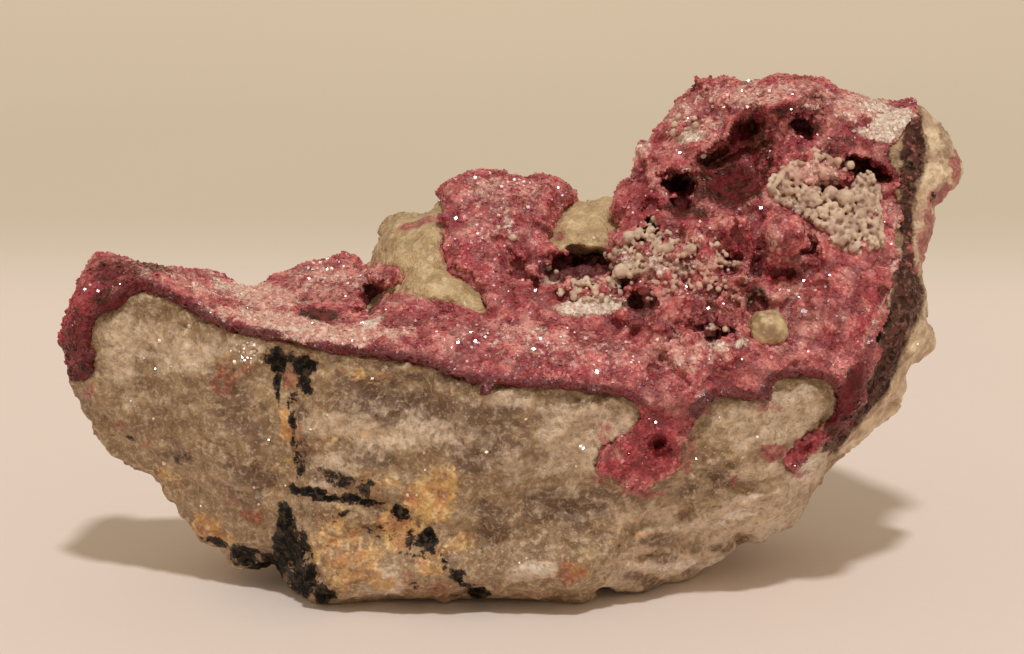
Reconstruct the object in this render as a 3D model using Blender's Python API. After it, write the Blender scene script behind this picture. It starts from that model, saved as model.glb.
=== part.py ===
"""Cobaltoan dolomite specimen: a boat-shaped piece of pale dolomite rock with a pink druse on its upper side.

The rock is a relief on both sides of its outline as it is seen from the front, a little from above.
Outlines and features are given in picture units of that view: x to the right, y downwards.
Depths and thicknesses are in millimetres. The pink crust, the pale botryoids and the cream nodule
each grow on the surface below them, with a hair gap between the solids.
"""
import math

import bmesh
import bpy
import numpy as np
from mathutils import Vector, noise
from mathutils.geometry import delaunay_2d_cdt

# Driving dimensions in millimetres and degrees
LENGTH = 140.0
GAP = 0.30
VIEW_ELEVATION = 14.0
VIEW_DISTANCE = 550.0
BACK_DEPTH_SHIFT = 19.8
LIP_THICKNESS = 1.5
RIM_THICKNESS = 1.9
CRUST_THICKNESS = 2.6
BOTRYOID_THICKNESS = 1.7
NODULE_HEIGHT = 2.7

# Picture units: the outline's ends, and the height at which the rock meets the surface it rests on
PICTURE_LEFT = 54
PICTURE_RIGHT = 961
PICTURE_MIDDLE = 511.5
PICTURE_BASE = 605
VIEW_CENTRE = (512, 327)
MM_PER_UNIT = LENGTH / (PICTURE_RIGHT - PICTURE_LEFT)

# Mesh spacing in millimetres
OUTLINE_STEP = 2.6
CRUST_STEP = 2.1
LUMP_STEP = 1.6
ROCK_STEP = 3.1
BACK_STEP = 4.6
BACK_RINGS = (1.2, 3.2, 6.2)
LUMPS_FROM = 625

# The outline from the low end of the crust at the left tip, over the top, to its end on the right lobe
OUTLINE_CRUST = [
    (88, 415), (78, 406), (67, 385), (60, 362), (54, 344), (57, 330), (69, 300), (82, 270), (92, 255), (104, 250),
    (128, 255), (154, 264), (200, 264), (227, 268), (248, 279), (279, 270), (314, 261), (349, 256), (361, 262),
    (377, 245), (381, 226), (390, 213), (418, 211), (435, 197), (449, 180), (475, 170), (508, 169), (516, 176),
    (546, 173), (575, 185), (587, 193), (602, 187), (621, 184), (635, 165), (646, 140), (667, 110), (691, 84),
    (723, 77), (753, 80), (778, 74), (803, 74), (836, 83), (845, 91), (870, 92), (903, 91),
]

# The outline of the bare rock, from the right lobe down and round the bottom to the left tip
OUTLINE_ROCK = [
    (926, 100), (941, 121), (955, 147), (961, 167), (957, 188), (948, 194), (935, 220), (927, 254), (926, 290),
    (934, 343), (930, 352), (909, 368), (902, 391), (890, 412), (865, 440), (835, 466), (815, 493), (797, 518),
    (770, 533), (758, 542), (729, 553), (705, 570), (684, 583), (664, 585), (640, 594), (615, 588), (598, 589),
    (582, 604), (520, 600), (458, 599), (445, 605), (425, 598), (380, 601), (321, 605), (301, 595), (271, 567),
    (241, 567), (222, 550), (201, 540), (187, 517), (167, 500), (151, 479), (114, 455), (97, 429),
]

# The crust's broken edge, from its end on the right lobe, along the seam and the front, to the left tip
CRUST_EDGE = [
    (901, 120), (900, 160), (898, 205), (897, 250), (892, 290), (884, 322), (868, 358), (858, 392), (848, 420),
    (833, 438), (815, 447), (800, 466), (787, 472), (783, 458), (799, 440), (822, 424), (834, 410), (832, 390),
    (816, 380), (777, 382), (765, 402), (730, 398), (708, 402), (694, 420), (686, 442), (678, 464), (656, 480),
    (633, 490), (616, 480), (598, 470), (601, 448), (624, 434), (640, 414), (628, 401), (580, 393), (511, 388),
    (483, 386), (456, 380), (428, 368), (380, 359), (333, 354), (279, 342), (236, 335), (203, 320), (180, 307),
    (160, 296), (140, 293), (127, 303), (119, 318), (103, 321), (96, 335), (94, 358), (97, 380), (97, 405),
]

# Places where the crust is missing and the cream rock shows, the first of them up to the outline
UPPER_EXPOSURE = [
    (376, 212), (392, 196), (432, 196), (438, 221), (447, 232), (444, 246), (440, 262), (447, 276), (462, 281),
    (478, 292), (492, 312), (488, 322), (470, 316), (446, 306), (420, 300), (398, 301), (380, 309), (379, 294),
    (392, 280), (405, 268), (397, 262), (370, 262), (364, 245),
]
SADDLE_EXPOSURE = [(568, 210), (594, 203), (606, 208), (613, 226), (628, 240), (612, 250), (590, 244), (566, 247)]

# Zones that carry a growth of their own
BOTRYOID_ZONE = [
    (781, 176), (792, 172), (799, 187), (812, 200), (838, 205), (851, 196), (862, 184), (876, 192), (884, 216),
    (881, 246), (866, 261), (846, 262), (829, 254), (822, 240), (801, 226), (781, 216), (771, 202),
]
NODULE_CENTRE = (766, 329)
NODULE_RADIUS = 20
NODULE_SIDES = 14

# The front edge that stands nearest the viewer: its height in the picture and its depth, along x
EDGE_HEIGHT = [
    (54, 338), (85, 318), (110, 312), (140, 290), (165, 294), (203, 317), (236, 332), (300, 343), (400, 360),
    (456, 377), (511, 386), (580, 391), (650, 401), (700, 405), (763, 404), (816, 388), (860, 365), (905, 310),
    (935, 250), (961, 200),
]
EDGE_DEPTH = [(54, -2), (120, -8), (200, -11.5), (350, -15.5), (500, -17.5), (650, -17), (760, -14), (850, -10),
              (905, -6), (961, 0)]

# How fast the pink side runs back as it rises, along x
RISE_SLOPE = [
    (54, 0.7), (104, 1.4), (120, 2.4), (140, 4.8), (165, 5.0), (200, 3.2), (236, 3.2), (279, 3.0), (314, 2.6), (361, 2.5),
    (378, 1.95), (392, 1.5), (450, 1.15), (508, 1.05), (585, 1.15), (621, 1.0), (646, 0.75), (691, 0.57),
    (778, 0.49), (870, 0.48), (961, 0.4),
]

# The rock face below the edge bows back to its lower rim: that rim's height in the picture and its depth
RIM_HEIGHT = [
    (54, 385), (97, 432), (151, 482), (222, 552), (271, 570), (310, 604), (582, 604), (640, 596), (705, 572),
    (770, 535), (835, 468), (902, 393), (961, 300),
]
RIM_DEPTH = [(54, 2), (97, 4), (151, 6), (222, 6.5), (271, 5), (310, -1.5), (582, -1.5), (640, 3), (705, 8),
             (770, 7), (835, 7.5), (902, 6), (961, 4)]
STRAIGHT_SHARE = 0.45

# Depth of the back, along x, and how far the silhouette lies behind the front surface
BACK_DEPTH = [(54, 9), (110, 17), (220, 24), (360, 31), (500, 35), (700, 37), (860, 33), (961, 16)]
SILHOUETTE_SETBACK = [(54, 4), (200, 3), (350, 3.5), (600, 4), (700, 6), (860, 8), (961, 5)]
FRONT_ROUNDING = 4.0
BACK_ROUNDING = 14.0

# Hollows in the druse: x, y, half width, half height, turn in degrees, depth in millimetres
HOLLOWS = [
    (574, 268, 36, 15, -8, 5.2), (524, 275, 22, 9, 10, 2.6), (680, 184, 15, 15, 0, 4.0),
    (657, 224, 11, 14, -30, 3.0), (800, 126, 15, 9, 0, 3.0), (868, 172, 27, 13, 20, 4.0),
    (733, 182, 34, 27, 0, 2.4), (752, 268, 42, 9, 0, 2.6), (717, 331, 18, 8, 0, 2.2),
    (646, 311, 10, 14, 20, 2.0), (373, 299, 12, 14, 20, 2.6), (658, 446, 9, 10, 0, 2.2),
    (808, 447, 9, 6, -30, 1.2), (618, 282, 9, 18, -10, 1.8), (826, 197, 20, 9, 10, 1.2),
    (318, 314, 20, 12, 0, 1.2), (250, 300, 70, 14, 12, 2.0), (748, 134, 18, 18, 0, 1.8),
    (815, 450, 40, 22, -35, 0.0), (893, 230, 12, 110, 3, 0.0),
]

# Lumps of the druse: x, y, radius, height in millimetres
LUMPS = [
    (778, 247, 26, 2.8), (731, 244, 19, 2.0), (752, 250, 12, 1.4), (812, 176, 20, 1.8), (842, 168, 14, 1.4),
    (822, 312, 38, 2.6), (722, 98, 30, 1.8), (690, 108, 22, 1.4), (768, 96, 26, 1.5), (815, 98, 24, 1.2),
    (655, 170, 20, 1.5), (636, 215, 18, 1.3), (600, 300, 30, 1.2), (668, 262, 20, 1.8), (643, 251, 11, 1.2),
    (641, 285, 12, 1.2), (668, 232, 12, 1.2), (700, 272, 22, 1.6), (690, 305, 20, 1.5), (735, 295, 26, 1.6),
    (660, 345, 26, 1.3), (712, 362, 26, 1.4), (540, 215, 34, 1.6), (470, 205, 30, 1.6), (505, 195, 24, 1.2),
    (500, 245, 28, 1.2), (520, 310, 30, 1.0), (560, 345, 30, 0.9), (455, 345, 26, 0.8), (600, 215, 22, 0.6),
    (848, 130, 26, 1.2), (868, 290, 22, 1.2), (760, 370, 24, 1.2), (800, 356, 22, 1.0), (345, 278, 26, 1.0),
    (305, 283, 20, 0.8), (190, 276, 20, 0.8), (150, 276, 16, 0.7), (98, 275, 18, 0.9), (845, 340, 18, 0.9),
]

# Broad forms of the bare rock: x, y, radius, height in millimetres (negative where it is hollow)
ROCK_FORMS = [
    (420, 240, 34, 2.0), (430, 294, 34, 1.6), (592, 226, 24, 1.6), (500, 440, 90, 1.2), (160, 400, 60, 1.0),
    (640, 540, 60, 1.0), (760, 470, 60, 0.9), (300, 480, 60, -1.3), (400, 400, 50, -1.0), (560, 500, 60, -1.0),
    (742, 541, 14, -2.0), (290, 372, 26, -1.0), (240, 355, 24, 0.8), (700, 510, 50, -0.8), (930, 340, 18, 1.0),
]


# Uneven relief: the forms' size, their height and a seed, in millimetres
FRONT_RELIEF = [(14, 1.1, 1.0), (6, 0.6, 5.0)]
BACK_RELIEF = [(22, 3.2, 9.0), (8, 1.3, 13.0)]
BACK_CREASES = (14, 2.6, 11.0)
CRUST_RELIEF = [(5, 0.5, 21.0), (2.8, 0.35, 27.0)]
BOTRYOID_RELIEF = (2.2, 0.5, 33.0)

# The crust near its edges: where it is fully grown, and its least thickness
GROWN_FROM = 4.0
LEAST_THICKNESS = 0.9
HOLLOW_THINNING = 0.65
HOLLOW_REACH = 1.25

# The botryoids and the nodule at their edges
BOTRYOID_EDGE = 0.9
BOTRYOID_EDGE_RISE = 0.8
NODULE_EDGE = 0.7


def smoothed(points, step, closed=True):
    """A smooth curve through hand-set points, walked in even steps (picture units)."""
    count = len(points)
    dense = []
    for index in range(count if closed else count - 1):
        if closed:
            a, b, c, d = (Vector(points[(index + shift) % count]) for shift in (-1, 0, 1, 2))
        else:
            a, b, c, d = (Vector(points[min(max(index + shift, 0), count - 1)]) for shift in (-1, 0, 1, 2))
        for part in range(8):
            t = part / 8
            dense.append(0.5 * (2 * b + (c - a) * t + (2 * a - 5 * b + 4 * c - d) * t * t
                                + (3 * b - a - 3 * c + d) * t ** 3))
    dense.append(dense[0] if closed else Vector(points[-1]))
    lengths = np.cumsum([0] + [(dense[i + 1] - dense[i]).length for i in range(len(dense) - 1)])
    pieces = max(3, round(lengths[-1] * MM_PER_UNIT / step))
    stations = np.linspace(0, lengths[-1], pieces + 1)
    xs = np.interp(stations, lengths, [point.x for point in dense])
    ys = np.interp(stations, lengths, [point.y for point in dense])
    walked = np.column_stack([xs, ys])
    return walked[:-1] if closed else walked


def table(x, rows):
    """Reads a table of (x, value) rows at x."""
    return np.interp(x, [row[0] for row in rows], [row[1] for row in rows])


def relief(points, size, height, seed):
    """Smooth uneven heights over the picture, with forms about size millimetres wide."""
    scale = MM_PER_UNIT / size
    return height * np.array([noise.noise(Vector((x * scale, y * scale, seed))) for x, y in points])


def distance_to(points, line, closed=True):
    """The distance in millimetres from each point to a line of points."""
    starts = np.asarray(line)
    ends = np.roll(starts, -1, axis=0)
    if not closed:
        starts, ends = starts[:-1], ends[:-1]
    along = ends - starts
    offset = points[:, None, :] - starts[None]
    share = np.clip((offset * along).sum(2) / np.maximum((along ** 2).sum(1), 1e-9), 0, 1)
    nearest = offset - share[..., None] * along
    return np.sqrt((nearest ** 2).sum(2)).min(1) * MM_PER_UNIT


def inside(points, polygon):
    """Whether each point lies inside a polygon."""
    polygon = np.asarray(polygon, float)
    following = np.roll(polygon, -1, axis=0)
    x, y = points[:, 0, None], points[:, 1, None]
    crosses = (polygon[:, 1] > y) != (following[:, 1] > y)
    rise = np.where(following[:, 1] == polygon[:, 1], 1e-9, following[:, 1] - polygon[:, 1])
    at = polygon[:, 0] + (y - polygon[:, 1]) / rise * (following[:, 0] - polygon[:, 0])
    return (crosses & (x < at)).sum(1) % 2 == 1


def inset(points, amounts):
    """Moves the points of a clockwise outline (as seen in the picture) inwards by amounts in units."""
    ahead = np.roll(points, -1, axis=0) - np.roll(points, 1, axis=0)
    ahead /= np.linalg.norm(ahead, axis=1)[:, None]
    inwards = np.column_stack([-ahead[:, 1], ahead[:, 0]])
    return points + inwards * amounts[:, None]


def ring(outline, amount):
    """Points in a row inside an outline, amount millimetres from it."""
    moved = inset(outline, np.full(len(outline), amount / MM_PER_UNIT))
    moved = moved[inside(moved, outline)]
    kept = [point for point in moved[distance_to(moved, outline) > 0.85 * amount]]
    spaced = kept[:1]
    for point in kept[1:]:
        if np.linalg.norm(np.array(spaced) - point, axis=1).min() * MM_PER_UNIT > 0.7 * OUTLINE_STEP:
            spaced.append(point)
    return np.array(spaced)


def mound(points, x, y, half_width, half_height, turn=0.0):
    """A round form: one at its middle, falling to nothing at its edge."""
    angle = math.radians(turn)
    dx, dy = points[:, 0] - x, points[:, 1] - y
    across = (dx * math.cos(angle) + dy * math.sin(angle)) / half_width
    up = (dy * math.cos(angle) - dx * math.sin(angle)) / half_height
    reach = np.clip(1 - across ** 2 - up ** 2, 0, None)
    return reach ** 0.8


def bare_front(points):
    """Depth of the rock's front before its rim is rounded."""
    x, y = points[:, 0], points[:, 1]
    edge = table(x, EDGE_HEIGHT)
    rise = np.clip(edge - y, 0, None) * MM_PER_UNIT * table(x, RISE_SLOPE)
    fall = np.clip((y - edge) / (table(x, RIM_HEIGHT) - edge), 0, 1.1)
    bow = fall * (STRAIGHT_SHARE + (1 - STRAIGHT_SHARE) * fall)
    depth = table(x, EDGE_DEPTH) + rise + (table(x, RIM_DEPTH) - table(x, EDGE_DEPTH)) * bow
    return depth + sum(relief(points, *forms) for forms in FRONT_RELIEF)


def rim_profile(distance, radius):
    """Zero at the outline and one from the given distance inwards, round like a quarter circle."""
    share = np.clip(distance / radius, 0, 1)
    return np.sqrt(1 - (1 - share) ** 2)


def rest_limit(points):
    """The depth at which the view through a picture point meets the surface that the rock rests on."""
    angle = math.radians(VIEW_ELEVATION)
    height = (PICTURE_BASE - points[:, 1]) * MM_PER_UNIT
    below_centre = (points[:, 1] - VIEW_CENTRE[1]) * MM_PER_UNIT / VIEW_DISTANCE
    return np.clip(height, 0, None) / np.maximum(math.tan(angle) + below_centre, 0.02)


def front_depth(points, outline):
    """Depth of the rock's front: broad form, hollows, forms of the bare rock and a rounded rim."""
    depth = bare_front(points)
    for x, y, half_width, half_height, turn, deep in HOLLOWS:
        depth += deep * mound(points, x, y, half_width * HOLLOW_REACH, half_height * HOLLOW_REACH, turn)
    for x, y, radius, high in ROCK_FORMS:
        depth -= high * mound(points, x, y, radius, radius)
    setback = table(points[:, 0], SILHOUETTE_SETBACK)
    depth += setback * (1 - rim_profile(distance_to(points, outline), FRONT_ROUNDING))
    return np.minimum(depth, rest_limit(points))


def back_depth(points, outline):
    """Depth of the rock's back, which meets the front along the outline."""
    behind = table(points[:, 0], BACK_DEPTH) + sum(relief(points, *forms) for forms in BACK_RELIEF)
    behind += np.abs(relief(points, *BACK_CREASES))
    rim = front_depth(points, outline)
    share = rim_profile(distance_to(points, outline), BACK_ROUNDING)
    return np.minimum(rim + (np.maximum(behind, rim + 1) - rim) * share, rest_limit(points))


def world(points, depth):
    """Turns picture points and their depth into places in metres, +Z up, resting on Z = 0."""
    angle = math.radians(VIEW_ELEVATION)
    spread = 1 + depth / VIEW_DISTANCE
    across = (VIEW_CENTRE[0] - PICTURE_MIDDLE + (points[:, 0] - VIEW_CENTRE[0]) * spread) * MM_PER_UNIT
    up = (PICTURE_BASE - VIEW_CENTRE[1] - (points[:, 1] - VIEW_CENTRE[1]) * spread) * MM_PER_UNIT
    y = up * math.sin(angle) + depth * math.cos(angle) - BACK_DEPTH_SHIFT
    z = up * math.cos(angle) - depth * math.sin(angle)
    return np.column_stack([across, y, np.maximum(z, 0)]) / 1000


def scattered(outline, step, keep_off, seed):
    """Points in a staggered, slightly shaken grid inside an outline, clear of the given lines."""
    spacing = step / MM_PER_UNIT
    rng = np.random.default_rng(seed)
    low, high = outline.min(0), outline.max(0)
    rows = []
    for row, y in enumerate(np.arange(low[1], high[1], spacing * 0.866)):
        xs = np.arange(low[0] + (row % 2) * spacing / 2, high[0], spacing)
        rows.append(np.column_stack([xs, np.full(len(xs), y)]))
    points = np.vstack(rows)
    points += rng.uniform(-0.16, 0.16, points.shape) * spacing
    points = points[inside(points, outline)]
    for line in keep_off:
        points = points[distance_to(points, line) > 0.55 * step]
    return points


def triangulated(outline, lines, points):
    """A triangle mesh of the outline's inside that follows every line, up to where it leaves the outline.

    The picture's y runs downwards, so each triangle is turned round to face the viewer.
    """
    vertices = [Vector(point) for point in outline]
    edges = [(i, (i + 1) % len(outline)) for i in range(len(outline))]
    for line in lines:
        kept = inside(line, outline) & (distance_to(line, outline) > 0.5 * LUMP_STEP)
        for index, point in enumerate(line):
            if kept[index] and index and kept[index - 1]:
                edges.append((len(vertices) - 1, len(vertices)))
            if kept[index]:
                vertices.append(Vector(point))
    vertices += [Vector(point) for point in points]
    made = delaunay_2d_cdt(vertices, edges, [], 1, 1e-6)
    return np.array([tuple(vertex) for vertex in made[0]]), np.array(made[2])[:, ::-1]


def outlines():
    """The rock's outline and the loops of the growth zones, in picture units."""
    measured = smoothed(OUTLINE_CRUST + OUTLINE_ROCK, OUTLINE_STEP)
    covered = inside(measured, crust_reach()) & ~inside(measured, UPPER_EXPOSURE)
    around = np.tile(covered.astype(float), 3)
    cover = np.convolve(around, np.ones(3) / 3, "same")[len(measured):2 * len(measured)]
    rock = inset(measured, cover * (GAP + RIM_THICKNESS) / MM_PER_UNIT)
    exposures = [returning(smoothed(loop, CRUST_STEP)) for loop in (UPPER_EXPOSURE, SADDLE_EXPOSURE)]
    botryoids = returning(smoothed(BOTRYOID_ZONE, LUMP_STEP))
    turns = np.arange(NODULE_SIDES + 1) * math.tau / NODULE_SIDES
    nodule = np.array(NODULE_CENTRE) + NODULE_RADIUS * np.column_stack([np.cos(turns), np.sin(turns)])
    return rock, exposures, botryoids, nodule


def returning(loop):
    """A loop with its first point repeated at its end."""
    return np.vstack([loop, loop[:1]])


def crust_reach():
    """A wide polygon whose inside holds everything that the crust covers."""
    edge = smoothed(CRUST_EDGE, CRUST_STEP, closed=False)
    around = [(20, CRUST_EDGE[-1][1]), (20, 20), (CRUST_EDGE[0][0], 20)]
    return np.vstack([around, edge])


def patches(triangles):
    """Numbers the triangles so that those joined by sides have the same number."""
    leader = list(range(len(triangles)))

    def first_of(index):
        while leader[index] != index:
            index = leader[index]
        return index

    owners = {}
    for index, corners in enumerate(triangles):
        for a, b in ((0, 1), (1, 2), (2, 0)):
            side = tuple(sorted((corners[a], corners[b])))
            if side in owners:
                leader[first_of(index)] = first_of(owners[side])
            owners[side] = index
    return np.array([first_of(index) for index in range(len(triangles))])


def one_sheet(triangles):
    """The largest patch of the triangles, with nothing that hangs on by a corner."""
    while True:
        groups = patches(triangles)
        triangles = triangles[groups == np.bincount(groups).argmax()]
        hanging = set()
        for vertex in np.unique(triangles):
            around = np.flatnonzero((triangles == vertex).any(1))
            fans = patches(triangles[around])
            hanging.update(around[fans != np.bincount(fans).argmax()])
        if not hanging:
            return triangles
        triangles = np.delete(triangles, sorted(hanging), 0)


def front_sheet():
    """The front's triangle mesh in picture units, and the triangles of each growth zone."""
    rock, exposures, botryoids, nodule = outlines()
    edge = smoothed(CRUST_EDGE, CRUST_STEP, closed=False)
    lines = [edge] + exposures + [botryoids, nodule]
    reach = np.array(crust_reach())
    fine = scattered(rock, LUMP_STEP, [rock] + lines, 3)
    medium = scattered(rock, CRUST_STEP, [rock] + lines, 5)
    coarse = scattered(rock, ROCK_STEP, [rock] + lines, 7)
    points = np.vstack([fine[(fine[:, 0] > LUMPS_FROM) & inside(fine, reach)],
                        medium[(medium[:, 0] <= LUMPS_FROM - 6) & inside(medium, reach)],
                        coarse[~inside(coarse, reach)]])
    flat, triangles = triangulated(rock, lines, points)
    triangles = triangles[inside(flat[triangles].mean(1), rock)]
    middles = flat[triangles].mean(1)
    holes = inside(middles, exposures[0]) | inside(middles, exposures[1])
    zones = {"crust": inside(middles, reach) & ~holes, "botryoids": inside(middles, botryoids),
             "nodule": inside(middles, nodule)}
    return rock, flat, triangles, {name: one_sheet(triangles[zone]) for name, zone in zones.items()}


def face_normals(places, triangles):
    """Area-weighted normals of the vertices, from the triangles round each."""
    corners = places[triangles]
    facing = np.cross(corners[:, 1] - corners[:, 0], corners[:, 2] - corners[:, 0])
    normals = np.zeros_like(places)
    for corner in range(3):
        np.add.at(normals, triangles[:, corner], facing)
    return normals / np.maximum(np.linalg.norm(normals, axis=1), 1e-12)[:, None]


def softened(values, triangles, rounds):
    """Values of the vertices evened out with their neighbours'."""
    for _ in range(rounds):
        total = values.copy()
        count = np.ones(len(values))
        for a, b in ((0, 1), (1, 2), (2, 0)):
            for first, second in ((a, b), (b, a)):
                np.add.at(total, triangles[:, first], values[triangles[:, second]])
                np.add.at(count, triangles[:, first], 1)
        values = total / count.reshape(-1, *([1] * (values.ndim - 1)))
    return values


def material(name, colour, roughness):
    """A plain finish in the piece's own colour."""
    made = bpy.data.materials.new(name)
    made.use_nodes = True
    shader = made.node_tree.nodes["Principled BSDF"]
    shader.inputs["Base Color"].default_value = (*colour, 1)
    shader.inputs["Roughness"].default_value = roughness
    return made


def solid(name, places, triangles, finish):
    """One closed object from places in metres and triangles that face out."""
    used, packed = np.unique(triangles, return_inverse=True)
    mesh = bpy.data.meshes.new(name)
    mesh.from_pydata(places[used].tolist(), [], packed.reshape(-1, 3).tolist())
    mesh.materials.append(finish)
    made = bpy.data.objects.new(name, mesh)
    bpy.context.scene.collection.objects.link(made)
    body = bmesh.new()
    body.from_mesh(mesh)
    bmesh.ops.recalc_face_normals(body, faces=body.faces)
    body.to_mesh(mesh)
    body.free()
    return made


def layer(places, normals, triangles, low, high):
    """A closed sheet over some triangles, from low to high metres above their vertices."""
    count = len(places)
    below = places + normals * low[:, None]
    above = places + normals * high[:, None]
    sides = {}
    for a, b, c in triangles:
        for start, end in ((a, b), (b, c), (c, a)):
            if (end, start) in sides:
                del sides[(end, start)]
            else:
                sides[(start, end)] = True
    walls = []
    for start, end in sides:
        walls += [(start, start + count, end + count), (start, end + count, end)]
    faces = np.vstack([triangles[:, ::-1], triangles + count, np.array(walls)])
    return np.vstack([below, above]), faces


def rock_solid(rock, flat, triangles):
    """The rock: its front sheet and a coarser back sheet that share the outline."""
    back_points = scattered(rock, BACK_STEP, [], 11)
    rings = [ring(rock, amount) for amount in BACK_RINGS]
    back_points = back_points[distance_to(back_points, rock) > BACK_RINGS[-1] + 0.6 * BACK_STEP]
    back_flat, back_triangles = triangulated(rock, [], np.vstack(rings + [back_points]))
    back_triangles = back_triangles[inside(back_flat[back_triangles].mean(1), rock)]
    front = world(flat, front_depth(flat, rock))
    back = world(back_flat, back_depth(back_flat, rock))
    rim = {tuple(np.round(point, 3)): index for index, point in enumerate(flat)}
    shared = [rim.get(tuple(np.round(point, 3)), len(flat) + index) for index, point in enumerate(back_flat)]
    places = np.vstack([front, back])
    mirrored = np.array(shared)[back_triangles][:, ::-1]
    return front, places, np.vstack([triangles, mirrored])


def crust_height(flat, edge_distance):
    """Thickness of the crust in millimetres: thin at its broken edge and in hollows, with lumps on its top."""
    grown = np.clip(edge_distance / GROWN_FROM, 0, 1)
    height = LIP_THICKNESS + (CRUST_THICKNESS - LIP_THICKNESS) * grown
    height += grown * sum(relief(flat, *forms) for forms in CRUST_RELIEF)
    for x, y, radius, high in LUMPS:
        height += high * mound(flat, x, y, radius, radius) * grown
    for x, y, half_width, half_height, turn, _ in HOLLOWS:
        hollow = mound(flat, x, y, half_width * HOLLOW_REACH, half_height * HOLLOW_REACH, turn)
        height *= 1 - HOLLOW_THINNING * hollow
    return np.clip(height, LEAST_THICKNESS, None)


def crust_solid(front, flat, rock, normals, triangles, zone):
    """The pink crust on the rock. Returns the height of its top above the rock, in metres."""
    edge = smoothed(CRUST_EDGE, CRUST_STEP, closed=False)
    edge_distance = np.minimum(distance_to(flat, edge, closed=False), distance_to(flat, rock))
    for exposure in outlines()[1]:
        edge_distance = np.minimum(edge_distance, distance_to(flat, exposure))
    height = softened(crust_height(flat, edge_distance), triangles, 1)
    top = (GAP + height) / 1000
    low = np.full(len(flat), GAP / 1000)
    solid("pink_crust", *layer(front, normals, zone, low, top),
          material("pink_cobaltoan_dolomite", (0.36, 0.10, 0.10), 0.35))
    return top


def botryoid_solid(front, flat, normals, zone, crust_top):
    """The pale botryoids, one intergrown cluster on the crust."""
    edge_distance = distance_to(flat, outlines()[2])
    height = np.minimum(BOTRYOID_THICKNESS, BOTRYOID_EDGE + BOTRYOID_EDGE_RISE * edge_distance)
    height += np.abs(relief(flat, *BOTRYOID_RELIEF))
    low = crust_top + GAP / 1000
    solid("pale_botryoids", *layer(front, normals, zone, low, low + height / 1000),
          material("greyish_white_botryoids", (0.43, 0.28, 0.19), 0.6))


def nodule_solid(front, flat, normals, zone, crust_top):
    """The cream nodule, a round cap on the crust."""
    offset = flat - np.array(NODULE_CENTRE)
    share = np.clip(1 - (offset ** 2).sum(1) / NODULE_RADIUS ** 2, 0, 1)
    height = NODULE_EDGE + NODULE_HEIGHT * np.sqrt(share)
    low = crust_top + GAP / 1000
    solid("cream_nodule", *layer(front, normals, zone, low, low + height / 1000),
          material("cream_dolomite_nodule", (0.40, 0.25, 0.14), 0.45))


def build():
    """Makes the four solids."""
    for old in list(bpy.data.objects):
        bpy.data.objects.remove(old)
    rock, flat, triangles, zones = front_sheet()
    front, places, faces = rock_solid(rock, flat, triangles)
    solid("matrix", places, faces, material("pale_dolomite_rock", (0.42, 0.31, 0.19), 0.75))
    normals = softened(face_normals(places, faces)[:len(flat)], triangles, 3)
    normals /= np.maximum(np.linalg.norm(normals, axis=1), 1e-9)[:, None]
    crust_top = crust_solid(front, flat, rock, normals, triangles, zones["crust"])
    botryoid_solid(front, flat, normals, zones["botryoids"], crust_top)
    nodule_solid(front, flat, normals, zones["nodule"], crust_top)


build()
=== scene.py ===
import math

import bmesh
import bpy
import numpy as np
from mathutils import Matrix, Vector, noise
from mathutils.geometry import delaunay_2d_cdt
from mathutils.kdtree import KDTree

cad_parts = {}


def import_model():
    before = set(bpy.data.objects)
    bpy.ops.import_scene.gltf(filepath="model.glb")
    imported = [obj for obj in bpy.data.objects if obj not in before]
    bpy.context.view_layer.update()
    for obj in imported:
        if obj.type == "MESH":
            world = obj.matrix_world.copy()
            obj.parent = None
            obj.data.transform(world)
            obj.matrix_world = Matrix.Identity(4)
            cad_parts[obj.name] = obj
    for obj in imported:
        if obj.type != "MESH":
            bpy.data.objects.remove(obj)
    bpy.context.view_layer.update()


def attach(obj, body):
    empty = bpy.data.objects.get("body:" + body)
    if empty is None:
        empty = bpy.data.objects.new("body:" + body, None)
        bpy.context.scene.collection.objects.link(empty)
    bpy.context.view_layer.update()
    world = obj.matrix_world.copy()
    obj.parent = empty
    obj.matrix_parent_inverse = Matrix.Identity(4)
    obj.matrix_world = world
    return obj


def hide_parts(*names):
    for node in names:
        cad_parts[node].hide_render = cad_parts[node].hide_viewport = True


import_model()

# The small crystals: the angle of their faces, how much they lean about, their spacing in millimetres
RHOMB_ANGLE = math.radians(102.0)
CRYSTAL_LEAN = 0.30
CRYSTAL_SPACING = 0.66
CRYSTAL_CORNERS = 8

# The scale and the view in which the outlines below are given: picture units and millimetres
LENGTH = 140.0
VIEW_ANGLE = math.radians(14.0)
VIEW_COS, VIEW_SIN = math.cos(VIEW_ANGLE), math.sin(VIEW_ANGLE)
VIEW_DISTANCE = 550.0
BACK_DEPTH_SHIFT = 19.8
PICTURE_WIDTH = 1024
PICTURE_LEFT = 54
PICTURE_RIGHT = 961
PICTURE_MIDDLE = 511.5
PICTURE_BASE = 605
VIEW_CENTRE = (512, 327)
MM_PER_UNIT = LENGTH / (PICTURE_RIGHT - PICTURE_LEFT)
SENSOR_WIDTH = 36

# Thicknesses of the crust in millimetres, and how far from its edge it has grown to the full one
LIP_THICKNESS = 1.5
CRUST_THICKNESS = 2.6
LEAST_THICKNESS = 0.9
GROWN_FROM = 4.0
CRUST_ROOT = 0.35
CRUST_GAP = 0.3
RIM_INSET = 2.0

# The ovals in which the crust runs down the front as toes: x, y, half width, half height
TOES = [(648, 452, 66, 52), (812, 446, 46, 34)]

# How much wider than drawn a hollow starts, and the share of the crust that it takes away
HOLLOW_REACH = 1.25
HOLLOW_THINNING = 0.65

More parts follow.
